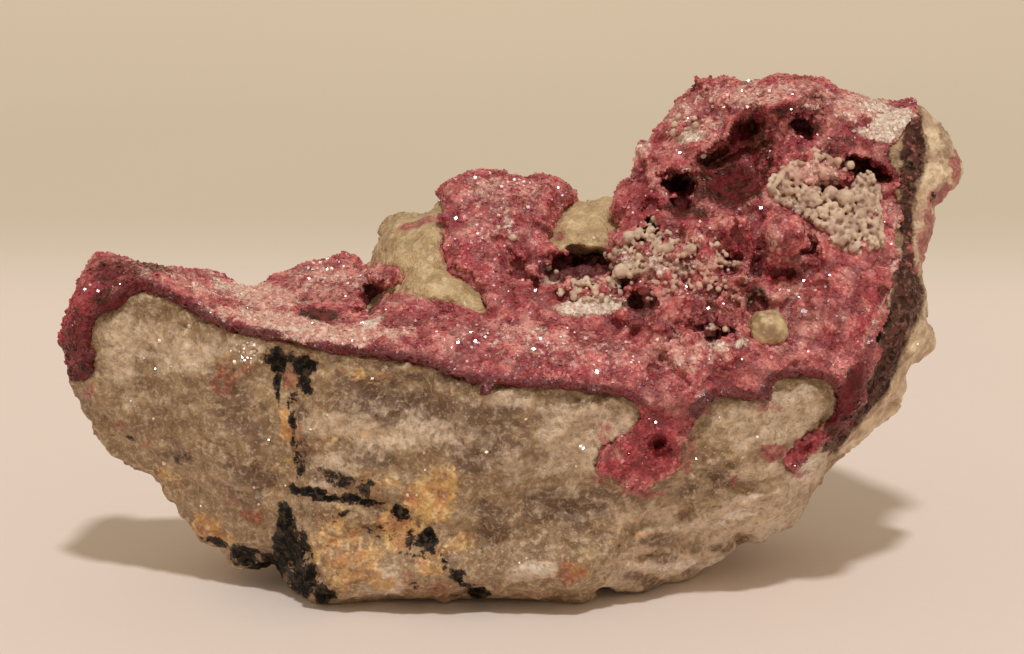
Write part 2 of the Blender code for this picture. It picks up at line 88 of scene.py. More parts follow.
# Where the crust thins out at its two ends: from and to, along or down the picture, and how strongly
RIGHT_END, RIGHT_END_ABOVE, RIGHT_END_WIDTH, RIGHT_END_THINNING = (860, 885), 420, 7, 0.88
LEFT_END, LEFT_END_DOWN, LEFT_END_THINNING = (90, 120), (315, 372), 0.8
TOE_THINNING = 0.6

# Mesh spacing in millimetres, the column right of which the druse's mesh is finer, and the most triangles
OUTLINE_STEP = 1.1
CRUST_STEP = 0.95
LUMP_STEP = 0.62
ROCK_STEP = 1.3
BACK_STEP = 2.4
BACK_RINGS = (1.0, 2.4, 4.4)
LUMPS_FROM = 500
LUMPS_OVERLAP = 3
ROCK_VOXEL = 0.50
CRUST_VOXEL = 0.34
GRAIN_VOXEL = 0.16
MOST_TRIANGLES = 196000

# The outline from the low end of the crust at the left tip, over the top, to its end on the right lobe
OUTLINE_CRUST = [
    (90, 417), (81, 408), (70, 388), (61, 364), (54, 344), (57, 330), (69, 300), (82, 270), (92, 255),
    (104, 250), (128, 255), (154, 264), (200, 264), (227, 268), (248, 279), (279, 270), (314, 261),
    (349, 256), (361, 262), (377, 245), (381, 226), (390, 213), (418, 211), (435, 197), (449, 180),
    (475, 170), (508, 169), (516, 176), (546, 173), (575, 185), (587, 193), (602, 187), (621, 184),
    (635, 165), (646, 140), (667, 110), (691, 84), (723, 77), (753, 80), (778, 74), (803, 74), (836, 83),
    (845, 91), (870, 92), (903, 91),
]

# The outline of the bare rock, from the right lobe down and round the bottom to the left tip
OUTLINE_ROCK = [
    (926, 100), (941, 121), (955, 147), (961, 167), (957, 188), (948, 194), (935, 220), (927, 254),
    (926, 290), (934, 343), (930, 352), (909, 368), (902, 391), (890, 412), (865, 440), (835, 466),
    (815, 493), (797, 518), (770, 533), (758, 542), (729, 553), (705, 570), (684, 583), (664, 585),
    (640, 594), (615, 588), (598, 589), (582, 604), (520, 600), (458, 599), (445, 605), (425, 598),
    (380, 601), (321, 605), (301, 595), (271, 567), (241, 567), (222, 550), (201, 540), (187, 517),
    (167, 500), (151, 479), (114, 455), (97, 429),
]

# The crust's broken edge, from its end on the right lobe, along the seam and the front, to the left tip
CRUST_EDGE = [
    (922, 70), (917, 104), (908, 124), (899, 140), (889, 150), (893, 164), (902, 178), (897, 198),
    (904, 218), (894, 238), (901, 262), (894, 284), (886, 300), (889, 318), (876, 338), (878, 355),
    (862, 374), (860, 392), (848, 408), (846, 424), (833, 438), (815, 447), (800, 466), (787, 472),
    (783, 458), (799, 440), (822, 424), (834, 410), (832, 390), (816, 380), (777, 382), (765, 402),
    (730, 398), (708, 402), (694, 420), (686, 442), (678, 464), (656, 480), (633, 490), (616, 480),
    (598, 470), (601, 448), (624, 434), (640, 414), (628, 401), (580, 393), (511, 388), (483, 386),
    (456, 380), (428, 368), (380, 359), (333, 354), (279, 342), (236, 335), (203, 320), (180, 307),
    (160, 296), (140, 291), (128, 298), (118, 310), (101, 316), (92, 334), (93, 356), (94, 371), (86, 381),
    (74, 380), (64, 374), (40, 376),
]

# A place left of and above the piece, beyond which nothing is drawn
OUTSIDE = 20

# Places where the crust is missing and the cream rock shows, and how far that rock stands out
UPPER_EXPOSURE = [
    (356, 254), (362, 246), (369, 233), (370, 218), (378, 198), (408, 196), (432, 196), (446, 212),
    (449, 230), (443, 246), (441, 262), (447, 276), (466, 284), (480, 296), (495, 318), (488, 323),
    (468, 318), (450, 306), (424, 302), (402, 297), (389, 303), (380, 318), (362, 326), (356, 322),
    (374, 306), (384, 294), (391, 283), (404, 276), (398, 270), (382, 270), (366, 268), (356, 262),
]
SADDLE_EXPOSURE = [
    (545, 243), (553, 231), (563, 216), (577, 203), (592, 195), (606, 182), (622, 174), (638, 180),
    (628, 200), (616, 214), (616, 226), (624, 237), (619, 246), (602, 250), (582, 252), (562, 250),
]
EXPOSURES = (UPPER_EXPOSURE, SADDLE_EXPOSURE)
EXPOSURE_RISE = 1.7
EXPOSURE_SLOPE = 1.6
EXPOSURE_EDGE = 0.8
CREAM_ABOVE = 330

# The zone of the pale botryoids, and the cream nodule
BOTRYOID_ZONE = [
    (781, 176), (792, 172), (799, 187), (812, 200), (838, 205), (851, 196), (862, 184), (876, 192),
    (884, 216), (881, 246), (866, 261), (846, 262), (829, 254), (822, 240), (801, 226), (781, 216),
    (771, 202),
]
NODULE_CENTRE = (763, 339)
NODULE_RADIUS = 20.5

# The front edge that stands nearest the viewer: its height in the picture and its depth, along x
EDGE_HEIGHT = [
    (54, 338), (85, 318), (110, 312), (140, 290), (165, 294), (203, 317), (236, 332), (300, 343), (400, 360),
    (456, 377), (511, 386), (580, 391), (650, 401), (700, 405), (763, 404), (816, 388), (860, 365),
    (905, 310), (935, 250), (961, 200),
]
EDGE_DEPTH = [
    (54, -2), (120, -8), (200, -11.5), (350, -15.5), (500, -17.5), (650, -17), (760, -14), (850, -10),
    (905, -6), (961, 0),
]

# Above that edge, how far the surface goes back for each millimetre of height, along x
RISE_SLOPE = [
    (54, 0.7), (104, 1.4), (120, 2.4), (140, 4.8), (165, 5.0), (200, 3.2), (236, 3.2), (279, 3.0),
    (314, 2.6), (361, 2.5), (378, 1.95), (392, 1.5), (450, 1.03), (508, 1.05), (585, 1.03), (621, 1.0),
    (646, 0.75), (691, 0.57), (778, 0.49), (870, 0.48), (961, 0.4),
]

# Below it, the lower rim's height in the picture and its depth, along x, and how straight the way there is
RIM_HEIGHT = [
    (54, 385), (97, 432), (151, 482), (222, 552), (271, 570), (310, 604), (582, 604), (640, 596), (705, 572),
    (770, 535), (835, 468), (902, 393), (961, 300),
]
RIM_DEPTH = [
    (54, 2), (97, 4), (151, 6), (222, 6.5), (271, 5), (310, -1.5), (582, -1.5), (640, 3), (705, 8), (770, 7),
    (835, 7.5), (902, 6), (961, 4),
]
STRAIGHT_SHARE = 0.45

# The back's depth, how far the front is set back at the outline, and the width of both roundings
BACK_DEPTH = [(54, 9), (110, 17), (220, 24), (360, 31), (500, 35), (700, 37), (860, 33), (961, 16)]
SILHOUETTE_SETBACK = [(54, 4), (200, 3), (350, 3.5), (600, 4), (700, 6), (860, 8), (961, 5)]
FRONT_ROUNDING = 4.0
BACK_ROUNDING = 14.0

# Hollows in the druse: x, y, half width, half height, turn in degrees, depth in millimetres
HOLLOWS = [
    (574, 268, 36, 15, -8, 5.2), (524, 275, 22, 9, 10, 2.6), (680, 184, 15, 15, 0, 4.0),
    (657, 224, 11, 14, -30, 3.0), (800, 126, 15, 9, 0, 3.0), (868, 172, 27, 13, 20, 4.0),
    (733, 182, 34, 27, 0, 2.4), (752, 268, 42, 9, 0, 2.6), (717, 331, 18, 8, 0, 2.2),
    (646, 311, 10, 14, 20, 2.0), (373, 299, 12, 14, 20, 2.6), (658, 446, 9, 10, 0, 2.2),
    (808, 447, 9, 6, -30, 1.2), (618, 282, 9, 18, -10, 1.8), (826, 197, 20, 9, 10, 1.2),
    (318, 314, 20, 12, 0, 1.2), (250, 300, 70, 14, 12, 2.0), (748, 134, 18, 18, 0, 1.8),
    (815, 450, 40, 22, -35, 0.0), (893, 230, 12, 110, 3, 0.0),
]

# Open holes that go deeper into the piece: x, y, half width, half height, turn, depth in millimetres
HOLES = [
    (580, 266, 31, 15, -2, 11.0), (552, 270, 14, 8, 10, 6.0), (524, 276, 20, 6, 8, 3.5),
    (678, 183, 16, 11, 14, 11.0), (682, 200, 7, 10, 0, 7.0), (648, 230, 9, 16, 38, 10.0),
    (800, 127, 15, 8, 0, 8.0), (858, 168, 18, 9, 30, 8.0), (878, 178, 14, 6, 30, 4.5),
    (826, 197, 21, 8, 8, 8.0), (810, 250, 9, 7, 0, 5.0), (776, 181, 5, 13, 12, 5.0),
    (717, 331, 18, 7, 8, 6.0), (641, 305, 12, 17, -25, 5.0), (616, 280, 5, 22, -18, 7.0),
    (372, 299, 12, 14, 10, 5.0), (657, 446, 7, 8, 10, 4.0), (808, 447, 9, 4, -30, 2.5),
    (757, 270, 9, 10, 0, 5.0), (725, 262, 12, 5, 5, 4.0), (742, 541, 12, 6, -10, 6.0),
    (790, 272, 24, 5, -6, 3.0), (713, 236, 3, 9, 20, 3.0), (696, 170, 5, 8, 0, 2.0),
]

# The share of a hole's depth that is made, and where its wall stands, in its half widths
HOLE_SHARE = 0.7
HOLE_WALL = (0.70, 1.10)

# Grooves (above zero) and ridges (below zero) in the druse: half width, depth in millimetres, then the line
GROOVES = [
    (6, 2.6, (706, 160), (728, 150), (748, 132), (764, 122)),
    (5, 1.8, (716, 170), (738, 158), (760, 150), (772, 140)), (4, 1.6, (756, 214), (762, 236), (756, 262)),
    (4, 1.6, (735, 224), (740, 244), (736, 264)), (4, 1.5, (672, 242), (690, 250), (700, 246)),
    (4, 1.5, (686, 268), (706, 280), (716, 296), (738, 302)), (4, 1.3, (664, 282), (670, 300), (662, 318)),
    (4, 1.3, (676, 330), (690, 324), (704, 326)), (4, 1.2, (600, 320), (620, 330), (648, 340), (672, 338)),
    (5, 1.4, (655, 352), (676, 372), (690, 388)), (4, 1.5, (772, 306), (752, 300), (742, 286)),
    (4, 1.2, (790, 300), (806, 288), (832, 284), (852, 292)), (4, 1.4, (776, 168), (768, 150), (778, 140)),
    (5, 1.6, (846, 186), (870, 198), (892, 196)), (4, 1.3, (500, 240), (512, 262), (540, 284)),
    (4, 1.2, (520, 200), (528, 222), (552, 236)), (4, 1.2, (448, 240), (452, 262), (470, 280)),
    (4, 0.9, (470, 215), (490, 230), (500, 246)), (5, -2.2, (549, 247), (575, 249), (606, 251)),
    (7, -2.4, (704, 150), (728, 128), (752, 106), (782, 98), (818, 92)),
    (5, -2.0, (662, 168), (684, 166), (700, 172), (704, 186)), (5, -1.8, (788, 116), (806, 113), (822, 120)),
    (4, -1.8, (798, 236), (812, 236), (822, 246), (824, 258)),
    (6, -1.4, (845, 152), (866, 156), (886, 168), (894, 180)),
    (2.5, -0.9, (882, 290), (870, 308), (852, 334), (836, 346)),
    (4, -1.2, (696, 322), (716, 320), (734, 326)), (5, -1.2, (540, 288), (560, 290), (600, 292), (624, 292)),
    (6, -0.8, (640, 362), (700, 366), (760, 372), (820, 352)),
]

# Grooves and ridges of the bare rock, in the same form
ROCK_LINES = [
    (6, -1.6, (625, 548), (660, 534), (701, 521), (735, 502), (788, 492)),
    (6, 1.6, (640, 556), (680, 544), (720, 530)), (6, -1.5, (628, 568), (668, 562), (708, 556)),
    (6, 1.4, (597, 572), (625, 578), (652, 579)), (6, 1.3, (695, 470), (720, 480), (750, 488)),
    (5, 1.3, (750, 512), (775, 504), (800, 486)), (5, 1.2, (660, 584), (685, 576), (706, 570)),
    (4, 1.0, (790, 446), (806, 462), (800, 480)), (8, -1.0, (498, 572), (530, 564), (557, 572)),
    (7, 0.9, (520, 492), (552, 500), (582, 518)), (5, 0.8, (540, 470), (530, 500), (520, 530)),
    (6, 0.9, (363, 386), (410, 402), (450, 424), (478, 455)),
    (6, -0.8, (340, 414), (384, 420), (432, 440), (452, 466)), (4, 0.7, (283, 372), (290, 410), (296, 450)),
    (4, 0.7, (296, 490), (330, 498), (390, 508)), (5, 0.8, (150, 410), (185, 420), (220, 446)),
    (5, -0.8, (130, 380), (170, 372), (215, 378)), (5, 0.7, (185, 332), (200, 362), (190, 396)),
    (5, -0.7, (215, 420), (240, 452), (252, 492)), (5, 0.7, (120, 346), (140, 372), (150, 400)),
    (5, -0.6, (500, 400), (540, 412), (600, 410)), (6, 0.7, (470, 470), (486, 510), (480, 550)),
    (5, -0.7, (330, 560), (380, 574), (420, 590)), (5, 0.6, (742, 420), (760, 450), (752, 480)),
    (5, -0.6, (770, 470), (800, 440), (826, 410)), (3, 0.6, (930, 112), (944, 140), (950, 170)),
    (3, 0.6, (920, 290), (918, 330), (900, 372)),
]

# Where a groove's wall stands, in its half widths, and how far it can reach
GROOVE_WALL = (0.15, 1.3)
GROOVE_MARGIN = 20

# How deep behind the picture's plane holes and grooves are still pushed in, in millimetres
PUSHED_BEFORE = 16

# Lumps of the druse: x, y, radius, height in millimetres
LUMPS = [
    (778, 247, 26, 2.8), (731, 244, 19, 2.0), (752, 250, 12, 1.4), (812, 176, 20, 1.8), (842, 168, 14, 1.4),
    (822, 312, 38, 2.6), (722, 98, 30, 1.8), (690, 108, 22, 1.4), (768, 96, 26, 1.5), (815, 98, 24, 1.2),
    (655, 170, 20, 1.5), (636, 215, 18, 1.3), (600, 300, 30, 1.2), (668, 262, 20, 1.8), (643, 251, 11, 1.2),
    (641, 285, 12, 1.2), (668, 232, 12, 1.2), (700, 272, 22, 1.6), (690, 305, 20, 1.5), (735, 295, 26, 1.6),
    (660, 345, 26, 1.3), (712, 362, 26, 1.4), (540, 215, 34, 1.6), (470, 205, 30, 1.6), (505, 195, 24, 1.2),
    (500, 245, 28, 1.2), (520, 310, 30, 1.0), (560, 345, 30, 0.9), (455, 345, 26, 0.8), (848, 130, 26, 1.2),
    (868, 290, 22, 1.2), (760, 370, 24, 1.2), (800, 356, 22, 1.0), (345, 278, 26, 1.0), (305, 283, 20, 0.8),
    (190, 276, 20, 0.8), (150, 276, 16, 0.7), (98, 275, 18, 0.9), (845, 340, 18, 0.9),
]

# Balls that stand out of the druse: x, y, radius, and how much of the radius lies in front of the crust
BALLS = [
    (778, 251, 24, 0.95), (731, 244, 17, 0.6), (752, 253, 10, 0.5), (716, 230, 11, 0.5), (806, 168, 11, 0.3),
    (822, 178, 12, 0.3), (838, 166, 9, 0.3), (792, 160, 8, 0.3), (820, 320, 26, -0.35), (850, 300, 17, -0.2),
    (795, 292, 13, -0.1), (648, 172, 13, -0.1), (642, 196, 14, -0.1), (630, 214, 15, -0.1),
    (668, 205, 8, 0.3), (702, 262, 12, 0.0), (682, 272, 13, 0.0), (662, 262, 10, 0.2), (700, 300, 14, 0.0),
    (725, 300, 13, 0.1), (676, 300, 12, 0.1), (735, 318, 11, 0.2), (664, 326, 12, 0.0), (740, 348, 13, 0.1),
    (718, 350, 12, 0.0), (690, 345, 13, -0.1), (600, 298, 16, -0.3), (622, 322, 14, -0.2),
    (533, 235, 18, -0.3), (545, 258, 12, 0.0), (520, 262, 12, 0.0), (500, 190, 16, -0.3),
    (478, 200, 18, -0.3), (540, 195, 16, -0.3), (560, 205, 12, -0.2),
]

# Where the druse has no lumps: its right edge, and how close to its edge on the left arm and elsewhere
LUMPS_UNTIL = 884
LEFT_ARM_END = 130
LUMPS_FROM_EDGE = (2.2, 0.8)

# Where the druse forms separate round lumps: x, y, half width, half height, turn in degrees, strength
LUMPY_ZONES = [
    (690, 290, 95, 66, 0, 1.0), (690, 112, 56, 44, -35, 0.7), (650, 190, 34, 50, 0, 0.7),
    (815, 170, 50, 26, 0, 0.8), (840, 270, 50, 30, 0, 0.4), (560, 280, 60, 24, 0, 0.6),
    (700, 360, 60, 24, 0, 0.5), (740, 240, 60, 30, 0, 0.8), (800, 130, 40, 20, 0, 0.6),
]

# Sets of lumps: spacing, a seed, the range of radii, and how much of the radius stands out
SMALL_LUMPS = (2.4, 21, (0.8, 1.6), (-0.75, -0.35))
LARGE_LUMPS = (3.6, 23, (1.2, 2.5), (-0.30, 0.15))
BEADS = (2.6, 27, (0.4, 0.9), (0.2, 0.9))
LARGE_FROM, BEADS_FROM = 0.45, 0.5

# Cushions of the druse: size and a seed, then their height and what is added to it where it is lumpy
LARGE_CUSHIONS, LARGE_HEIGHT, LARGE_ADDED = (5.2, 161), 0.45, 1.00
MIDDLE_CUSHIONS, MIDDLE_HEIGHT, MIDDLE_ADDED = (2.5, 171), 0.36, 0.62
SMALL_CUSHIONS, SMALL_HEIGHT = (1.1, 181), 0.18
CUSHIONS_LIFT = 0.30

# Large round grains in the cluster, and single ones on the druse away from it: x, y, radius
BIG_BOTRYOIDS = [
    (827, 209, 8), (842, 212, 9), (811, 212, 7), (858, 226, 6), (796, 191, 6), (789, 183, 6), (866, 214, 6),
    (850, 240, 5), (836, 228, 6), (820, 222, 5), (804, 205, 5), (874, 232, 5), (784, 196, 5), (860, 204, 5),
]
PALE_GRAINS = [
    (643, 251, 7), (651, 246, 5), (641, 284, 8), (668, 232, 5), (658, 236, 4), (630, 262, 5), (622, 275, 5),
    (627, 287, 5), (652, 270, 5), (636, 272, 4), (660, 252, 4), (548, 279, 4), (514, 252, 4), (776, 335, 4),
    (690, 262, 6), (702, 258, 5), (712, 268, 5), (676, 262, 6),
]

# The smaller grains' spacing, the range of radii, how much of the radius stands out, and a seed
ALCOVE_GRAINS = (0.9, (0.35, 0.8), (0.0, 0.7), 47)
CRUMBS = (0.72, (0.28, 0.66), (0.0, 0.50), 48)

# Where smaller grains lie, and which are pinkish: x, y, half width, half height, turn, share or strength
ALCOVE_ZONES = [(818, 176, 27, 14, 6, 0.8)]
GRAIN_ZONES = [
    (640, 262, 34, 22, 0, 0.9), (592, 306, 38, 10, -2, 1.0), (660, 244, 18, 12, 0, 0.6),
    (700, 266, 44, 18, 10, 0.55), (690, 292, 36, 12, 10, 0.35), (630, 288, 14, 12, 0, 0.5),
    (552, 279, 12, 5, 0, 0.5), (690, 136, 15, 7, -20, 0.5), (741, 342, 7, 8, 0, 0.5),
    (716, 342, 16, 7, 0, 0.4), (672, 226, 8, 10, 0, 0.4), (664, 296, 30, 14, 0, 0.12),
    (706, 168, 12, 6, 0, 0.15),
]
PINKISH_GRAINS = [
    (818, 174, 34, 15, 6, 1.0), (700, 270, 40, 20, 0, 0.8), (790, 190, 10, 16, 0, 0.2),
    (664, 296, 34, 20, 0, 0.7),
]

# Broad forms of the bare rock: x, y, radius, height in millimetres (negative where it is hollow)
ROCK_FORMS = [
    (420, 240, 34, 2.0), (430, 294, 34, 1.6), (592, 226, 24, 1.6), (500, 440, 90, 1.2), (160, 400, 60, 1.0),
    (640, 540, 60, 1.0), (760, 470, 60, 0.9), (300, 480, 60, -1.3), (400, 400, 50, -1.0),
    (560, 500, 60, -1.0), (742, 541, 14, -2.0), (290, 372, 26, -1.0), (240, 355, 24, 0.8),
    (700, 510, 50, -0.8), (930, 340, 18, 1.0),
]

# The low front that juts out above the foot: where it starts and ends, down and along the picture
FOOT_OVERHANG = 4.5
FOOT_TOP, FOOT_BOTTOM = (535, 574), (586, 603)
FOOT_LEFT, FOOT_RIGHT = (280, 350), (575, 640)

# Uneven relief: the size and the height of the forms in millimetres, and a seed
FRONT_RELIEF = [(14, 1.1, 1.0), (6, 0.6, 5.0)]
BACK_RELIEF = [(22, 3.2, 9.0), (8, 1.3, 13.0)]
BACK_CREASES = (14, 2.6, 11.0)
CRUST_RELIEF = [(5, 0.5, 21.0), (2.8, 0.35, 27.0)]

# Noise on the rock's skin: its size in millimetres, a seed and how many sizes are added, then its height
COARSE_NOISE, COARSE_HEIGHT = (7, 81, 2), 0.55
FINE_NOISE, FINE_HEIGHT = (1.6, 91, 2), 0.12
CREAM_NOISE, CREAM_HEIGHT = (3.6, 95, 3), 0.75
SEAM_GRAINS = (1.1, 97)

# The rock's broken faces, which follow leaning cleavage planes: size, a seed and slope
CHIPS = [(4.6, 61, 0.22), (2.0, 161, 0.26)]
CLEAVAGE = np.array([(0.86, 0, -0.50), (0, 1, 0), (0.50, 0, 0.86)])
CLEAVAGE_STRETCH = np.array([0.7, 1, 1.2])

# How drawn forms are shaken: reach and size of the waves in picture units, and a seed
HOLE_SHAKE = (5.5, 10.0, 301)
GROOVE_SHAKE = (4.0, 14.0, 311)
EXPOSURE_SHAKE = (5.0, 22.0, 321)
CRUST_SHAKE = (2.0, 16.0, 331)
LUMPY_SHAKE = (2.5, 16.0, 500)
BLUSH_SHAKE = (2.5, 10.0, 560)
WET_SHAKE = (3.0, 10.0, 570)
GLINT_SHAKE = (3.0, 16.0, 575)
SPARKLE_SHAKE = (2.0, 12.0, 700)
PINKISH_SHAKE = (2.0, 10.0, 49)
ROCK_SHAKE = (3.0, 14.0)
GRAIN_SHAKE = (3.0, 14.0)
DRUSE_SHAKE = (3.0, 12.0)

# Where a drawn tone fades, in its half widths
TONE_EDGE = (0.45, 1.35)

# Stains and tones on the rock's front: x, y, half width, half height, turn in degrees, strength
BLACK = [
    (275, 360, 13, 15, -20, 1.0), (306, 365, 11, 14, 20, 1.0), (305, 387, 9, 12, 15, 0.8),
    (290, 356, 8, 6, 0, 0.5), (279, 390, 3.5, 20, 4, 0.9), (294, 398, 8, 8, 0, 0.55),
    (291, 425, 3, 26, -8, 0.8), (298, 462, 5, 22, -10, 0.75), (318, 494, 28, 5, 10, 1.0),
    (362, 500, 26, 6, 12, 1.0), (300, 490, 12, 4, 30, 0.9), (345, 512, 16, 4, -20, 0.7),
    (402, 513, 14, 9, 40, 1.0), (428, 538, 11, 10, 35, 1.0), (447, 560, 8, 5, 45, 0.9),
    (458, 580, 6, 14, -35, 0.9), (478, 592, 16, 7, 10, 1.0), (288, 520, 11, 17, -15, 1.0),
    (292, 548, 20, 22, 0, 0.98), (275, 566, 18, 13, 10, 0.98), (305, 578, 18, 18, 20, 0.98),
    (325, 593, 13, 11, 0, 1.0), (245, 556, 18, 12, 15, 1.0), (214, 543, 14, 5, 25, 0.9),
    (262, 575, 10, 6, 30, 0.8), (184, 457, 11, 6, -20, 0.35), (120, 436, 26, 2.5, 12, 0.35),
    (415, 556, 18, 4, 20, 0.55), (375, 530, 16, 9, 20, 0.4), (332, 477, 20, 9, 10, 0.42),
    (878, 342, 3.5, 36, 25, 1.0), (910, 166, 10, 6, 20, 0.5), (904, 200, 5, 8, 0, 0.35),
    (934, 198, 4, 5, 0, 0.8), (356, 484, 42, 10, 14, 0.43), (420, 546, 32, 10, 38, 0.45),
    (301, 452, 8, 20, 0, 0.40), (456, 574, 18, 8, 40, 0.45), (388, 530, 14, 10, 30, 0.3),
    (330, 520, 10, 8, 0, 0.4), (292, 448, 3, 10, -10, 0.8), (416, 586, 5, 4, 0, 0.6),
]
OCHRE = [
    (430, 500, 28, 26, 10, 1.4), (574, 570, 12, 13, 0, 0.9), (398, 526, 22, 26, 0, 1.2),
    (206, 527, 18, 11, 15, 1.3), (340, 520, 18, 14, 0, 0.7), (286, 425, 9, 17, 0, 1.2),
    (432, 560, 24, 18, 0, 0.8), (350, 560, 34, 34, 0, 0.75), (325, 545, 22, 26, 0, 0.7),
    (206, 528, 18, 14, 20, 0.9), (222, 540, 16, 10, 0, 0.7), (296, 440, 10, 26, 0, 0.8),
    (285, 470, 14, 14, 0, 0.5), (375, 485, 30, 16, 0, 0.6), (340, 440, 46, 8, -12, 0.35),
    (362, 375, 60, 10, 8, 0.45), (440, 480, 20, 16, 0, 0.9), (460, 545, 16, 20, 0, 0.5),
    (170, 480, 30, 14, 30, 0.4), (630, 525, 16, 16, 0, 0.4), (300, 380, 12, 14, 0, 0.6),
    (225, 362, 10, 16, 0, 0.5), (180, 340, 30, 14, 0, 0.35), (385, 580, 24, 12, 0, 0.7),
]
RUST = [
    (253, 517, 12, 9, 0, 1.4), (224, 380, 13, 18, 0, 0.9), (246, 364, 8, 12, 0, 0.8),
    (572, 573, 15, 16, 0, 0.95), (590, 560, 14, 14, 0, 0.3), (440, 590, 22, 10, 0, 0.8),
    (410, 582, 14, 14, 0, 0.6), (298, 440, 7, 20, 0, 0.6), (290, 380, 11, 13, 0, 0.8),
    (405, 540, 16, 12, 0, 0.6), (396, 520, 10, 14, 0, 0.8), (356, 560, 14, 10, 0, 0.4),
    (650, 545, 9, 26, 8, 0.4), (470, 590, 12, 10, 0, 0.5), (246, 350, 10, 12, 0, 0.5),
    (118, 426, 14, 4, 30, 0.8), (146, 445, 8, 4, 0, 0.7), (330, 520, 14, 10, 0, 0.5),
    (505, 560, 16, 14, 0, 0.3), (745, 430, 14, 8, 0, 0.3),
]
GREY = [
    (722, 478, 26, 9, 10, 0.7), (700, 545, 26, 7, -12, 0.7), (664, 558, 16, 6, 0, 1.1),
    (694, 584, 22, 6, -15, 1.1), (652, 584, 16, 6, 0, 0.9), (722, 548, 14, 6, -20, 1.1),
    (640, 592, 22, 6, 0, 0.6), (762, 503, 20, 6, -30, 0.5), (742, 541, 10, 5, 0, 1.4),
    (795, 500, 14, 8, -40, 0.4), (800, 440, 16, 10, -20, 0.4), (590, 520, 26, 14, 0, 0.6),
    (328, 477, 34, 8, 14, 1.5), (432, 546, 34, 10, 38, 1.3), (400, 520, 30, 8, 20, 0.9),
    (300, 420, 10, 26, 0, 0.9), (385, 398, 40, 14, 18, 1.2), (430, 412, 46, 17, 28, 1.3),
    (465, 440, 24, 18, 45, 1.2), (372, 454, 27, 14, 0, 1.2), (305, 457, 12, 12, 0, 1.4),
    (552, 504, 36, 20, 0, 1.3), (722, 476, 28, 12, 20, 0.98), (660, 540, 20, 7, -10, 0.98),
    (624, 575, 30, 7, 5, 1.0), (250, 475, 34, 16, 0, 0.9), (222, 380, 16, 20, 0, 1.0),
    (182, 458, 10, 9, 0, 1.0), (505, 430, 26, 40, 0, 0.9), (490, 520, 22, 34, 0, 0.7),
    (440, 378, 90, 6, 9, 0.9), (420, 415, 90, 30, 12, 0.9), (352, 395, 34, 30, 0, 0.7),
    (475, 455, 40, 26, 10, 0.7), (570, 500, 60, 22, 0, 0.8), (240, 420, 30, 60, -10, 0.55),
    (700, 490, 40, 12, 0, 0.6), (600, 540, 40, 16, 0, 0.4), (245, 480, 30, 40, 0, 0.5),
    (944, 140, 12, 36, 10, 0.55), (930, 300, 10, 14, 0, 0.3), (150, 355, 24, 30, 0, 0.25),
    (555, 425, 50, 16, 5, 0.4), (505, 500, 40, 40, 0, 0.35), (690, 540, 40, 18, 0, 0.35),
]
# Pale tones: pale rock, and at the lower right partly painted light that brightens the face sloping under
# there
PALE = [
    (700, 527, 42, 6, -12, 1.7), (748, 512, 40, 6, -18, 1.6), (662, 568, 50, 6, -8, 1.7),
    (712, 563, 26, 6, -20, 1.5), (805, 470, 26, 8, -38, 1.4), (640, 540, 16, 14, 0, 0.7),
    (590, 420, 40, 16, 0, 1.0), (760, 470, 40, 12, -10, 0.8), (800, 478, 30, 18, -40, 1.1),
    (735, 530, 100, 40, -25, 0.9), (660, 565, 70, 24, -10, 0.8), (668, 524, 10, 20, 20, 1.2),
    (430, 430, 60, 18, 12, 0.6), (770, 440, 60, 40, 0, 0.5), (528, 572, 30, 10, -8, 1.4),
    (392, 581, 17, 14, 0, 1.3), (344, 426, 42, 14, 0, 0.98), (408, 438, 24, 15, 20, 1.2),
    (590, 440, 56, 44, 0, 0.9), (770, 420, 56, 34, -20, 1.0), (135, 340, 36, 26, 0, 0.9),
    (210, 345, 30, 16, 10, 0.9), (620, 590, 30, 8, 0, 1.2), (770, 530, 40, 12, -30, 1.25),
    (690, 580, 30, 8, -20, 1.0), (840, 430, 16, 20, -30, 0.8), (180, 350, 50, 26, 15, 0.8),
    (330, 470, 34, 20, 0, 0.6), (380, 440, 34, 26, 0, 0.5), (540, 470, 60, 30, 0, 0.5),
    (560, 405, 60, 10, 2, 0.6), (250, 352, 15, 13, 0, 1.0), (505, 400, 40, 10, 0, 0.6),
    (740, 430, 50, 24, 0, 0.6), (640, 520, 50, 30, 0, 0.5), (800, 400, 22, 14, -30, 0.6),
    (120, 370, 22, 40, 0, 0.6), (630, 590, 30, 10, 0, 0.5),
    (450, 510, 24, 30, 0, 0.5), (710, 470, 40, 14, 0, 0.4), (380, 590, 40, 10, 0, 0.4),
]

# These by name, each with a seed, and on the other sides its patches' size, least noise and strength
ROCK_TONES = {
    "black": (BLACK, 510, 8.0, 0.50, 0.5), "ochre": (OCHRE, 520, 16.0, 0.25, 0.45),
    "rust": (RUST, 530, 11.0, 0.35, 0.45), "grey": (GREY, 540, 19.0, 0.0, 1.0),
    "pale": (PALE, 550, 16.0, 0.0, 1.0),
}
MOST_TONE = 1.4
WEATHERING_EDGE = 0.3

# The low right of the front, where grey tones hold back the pale ones: along and down the picture
LOW_RIGHT, LOW_RIGHT_DOWN, LOW_RIGHT_SHARE = (600, 640), (460, 490), 0.7

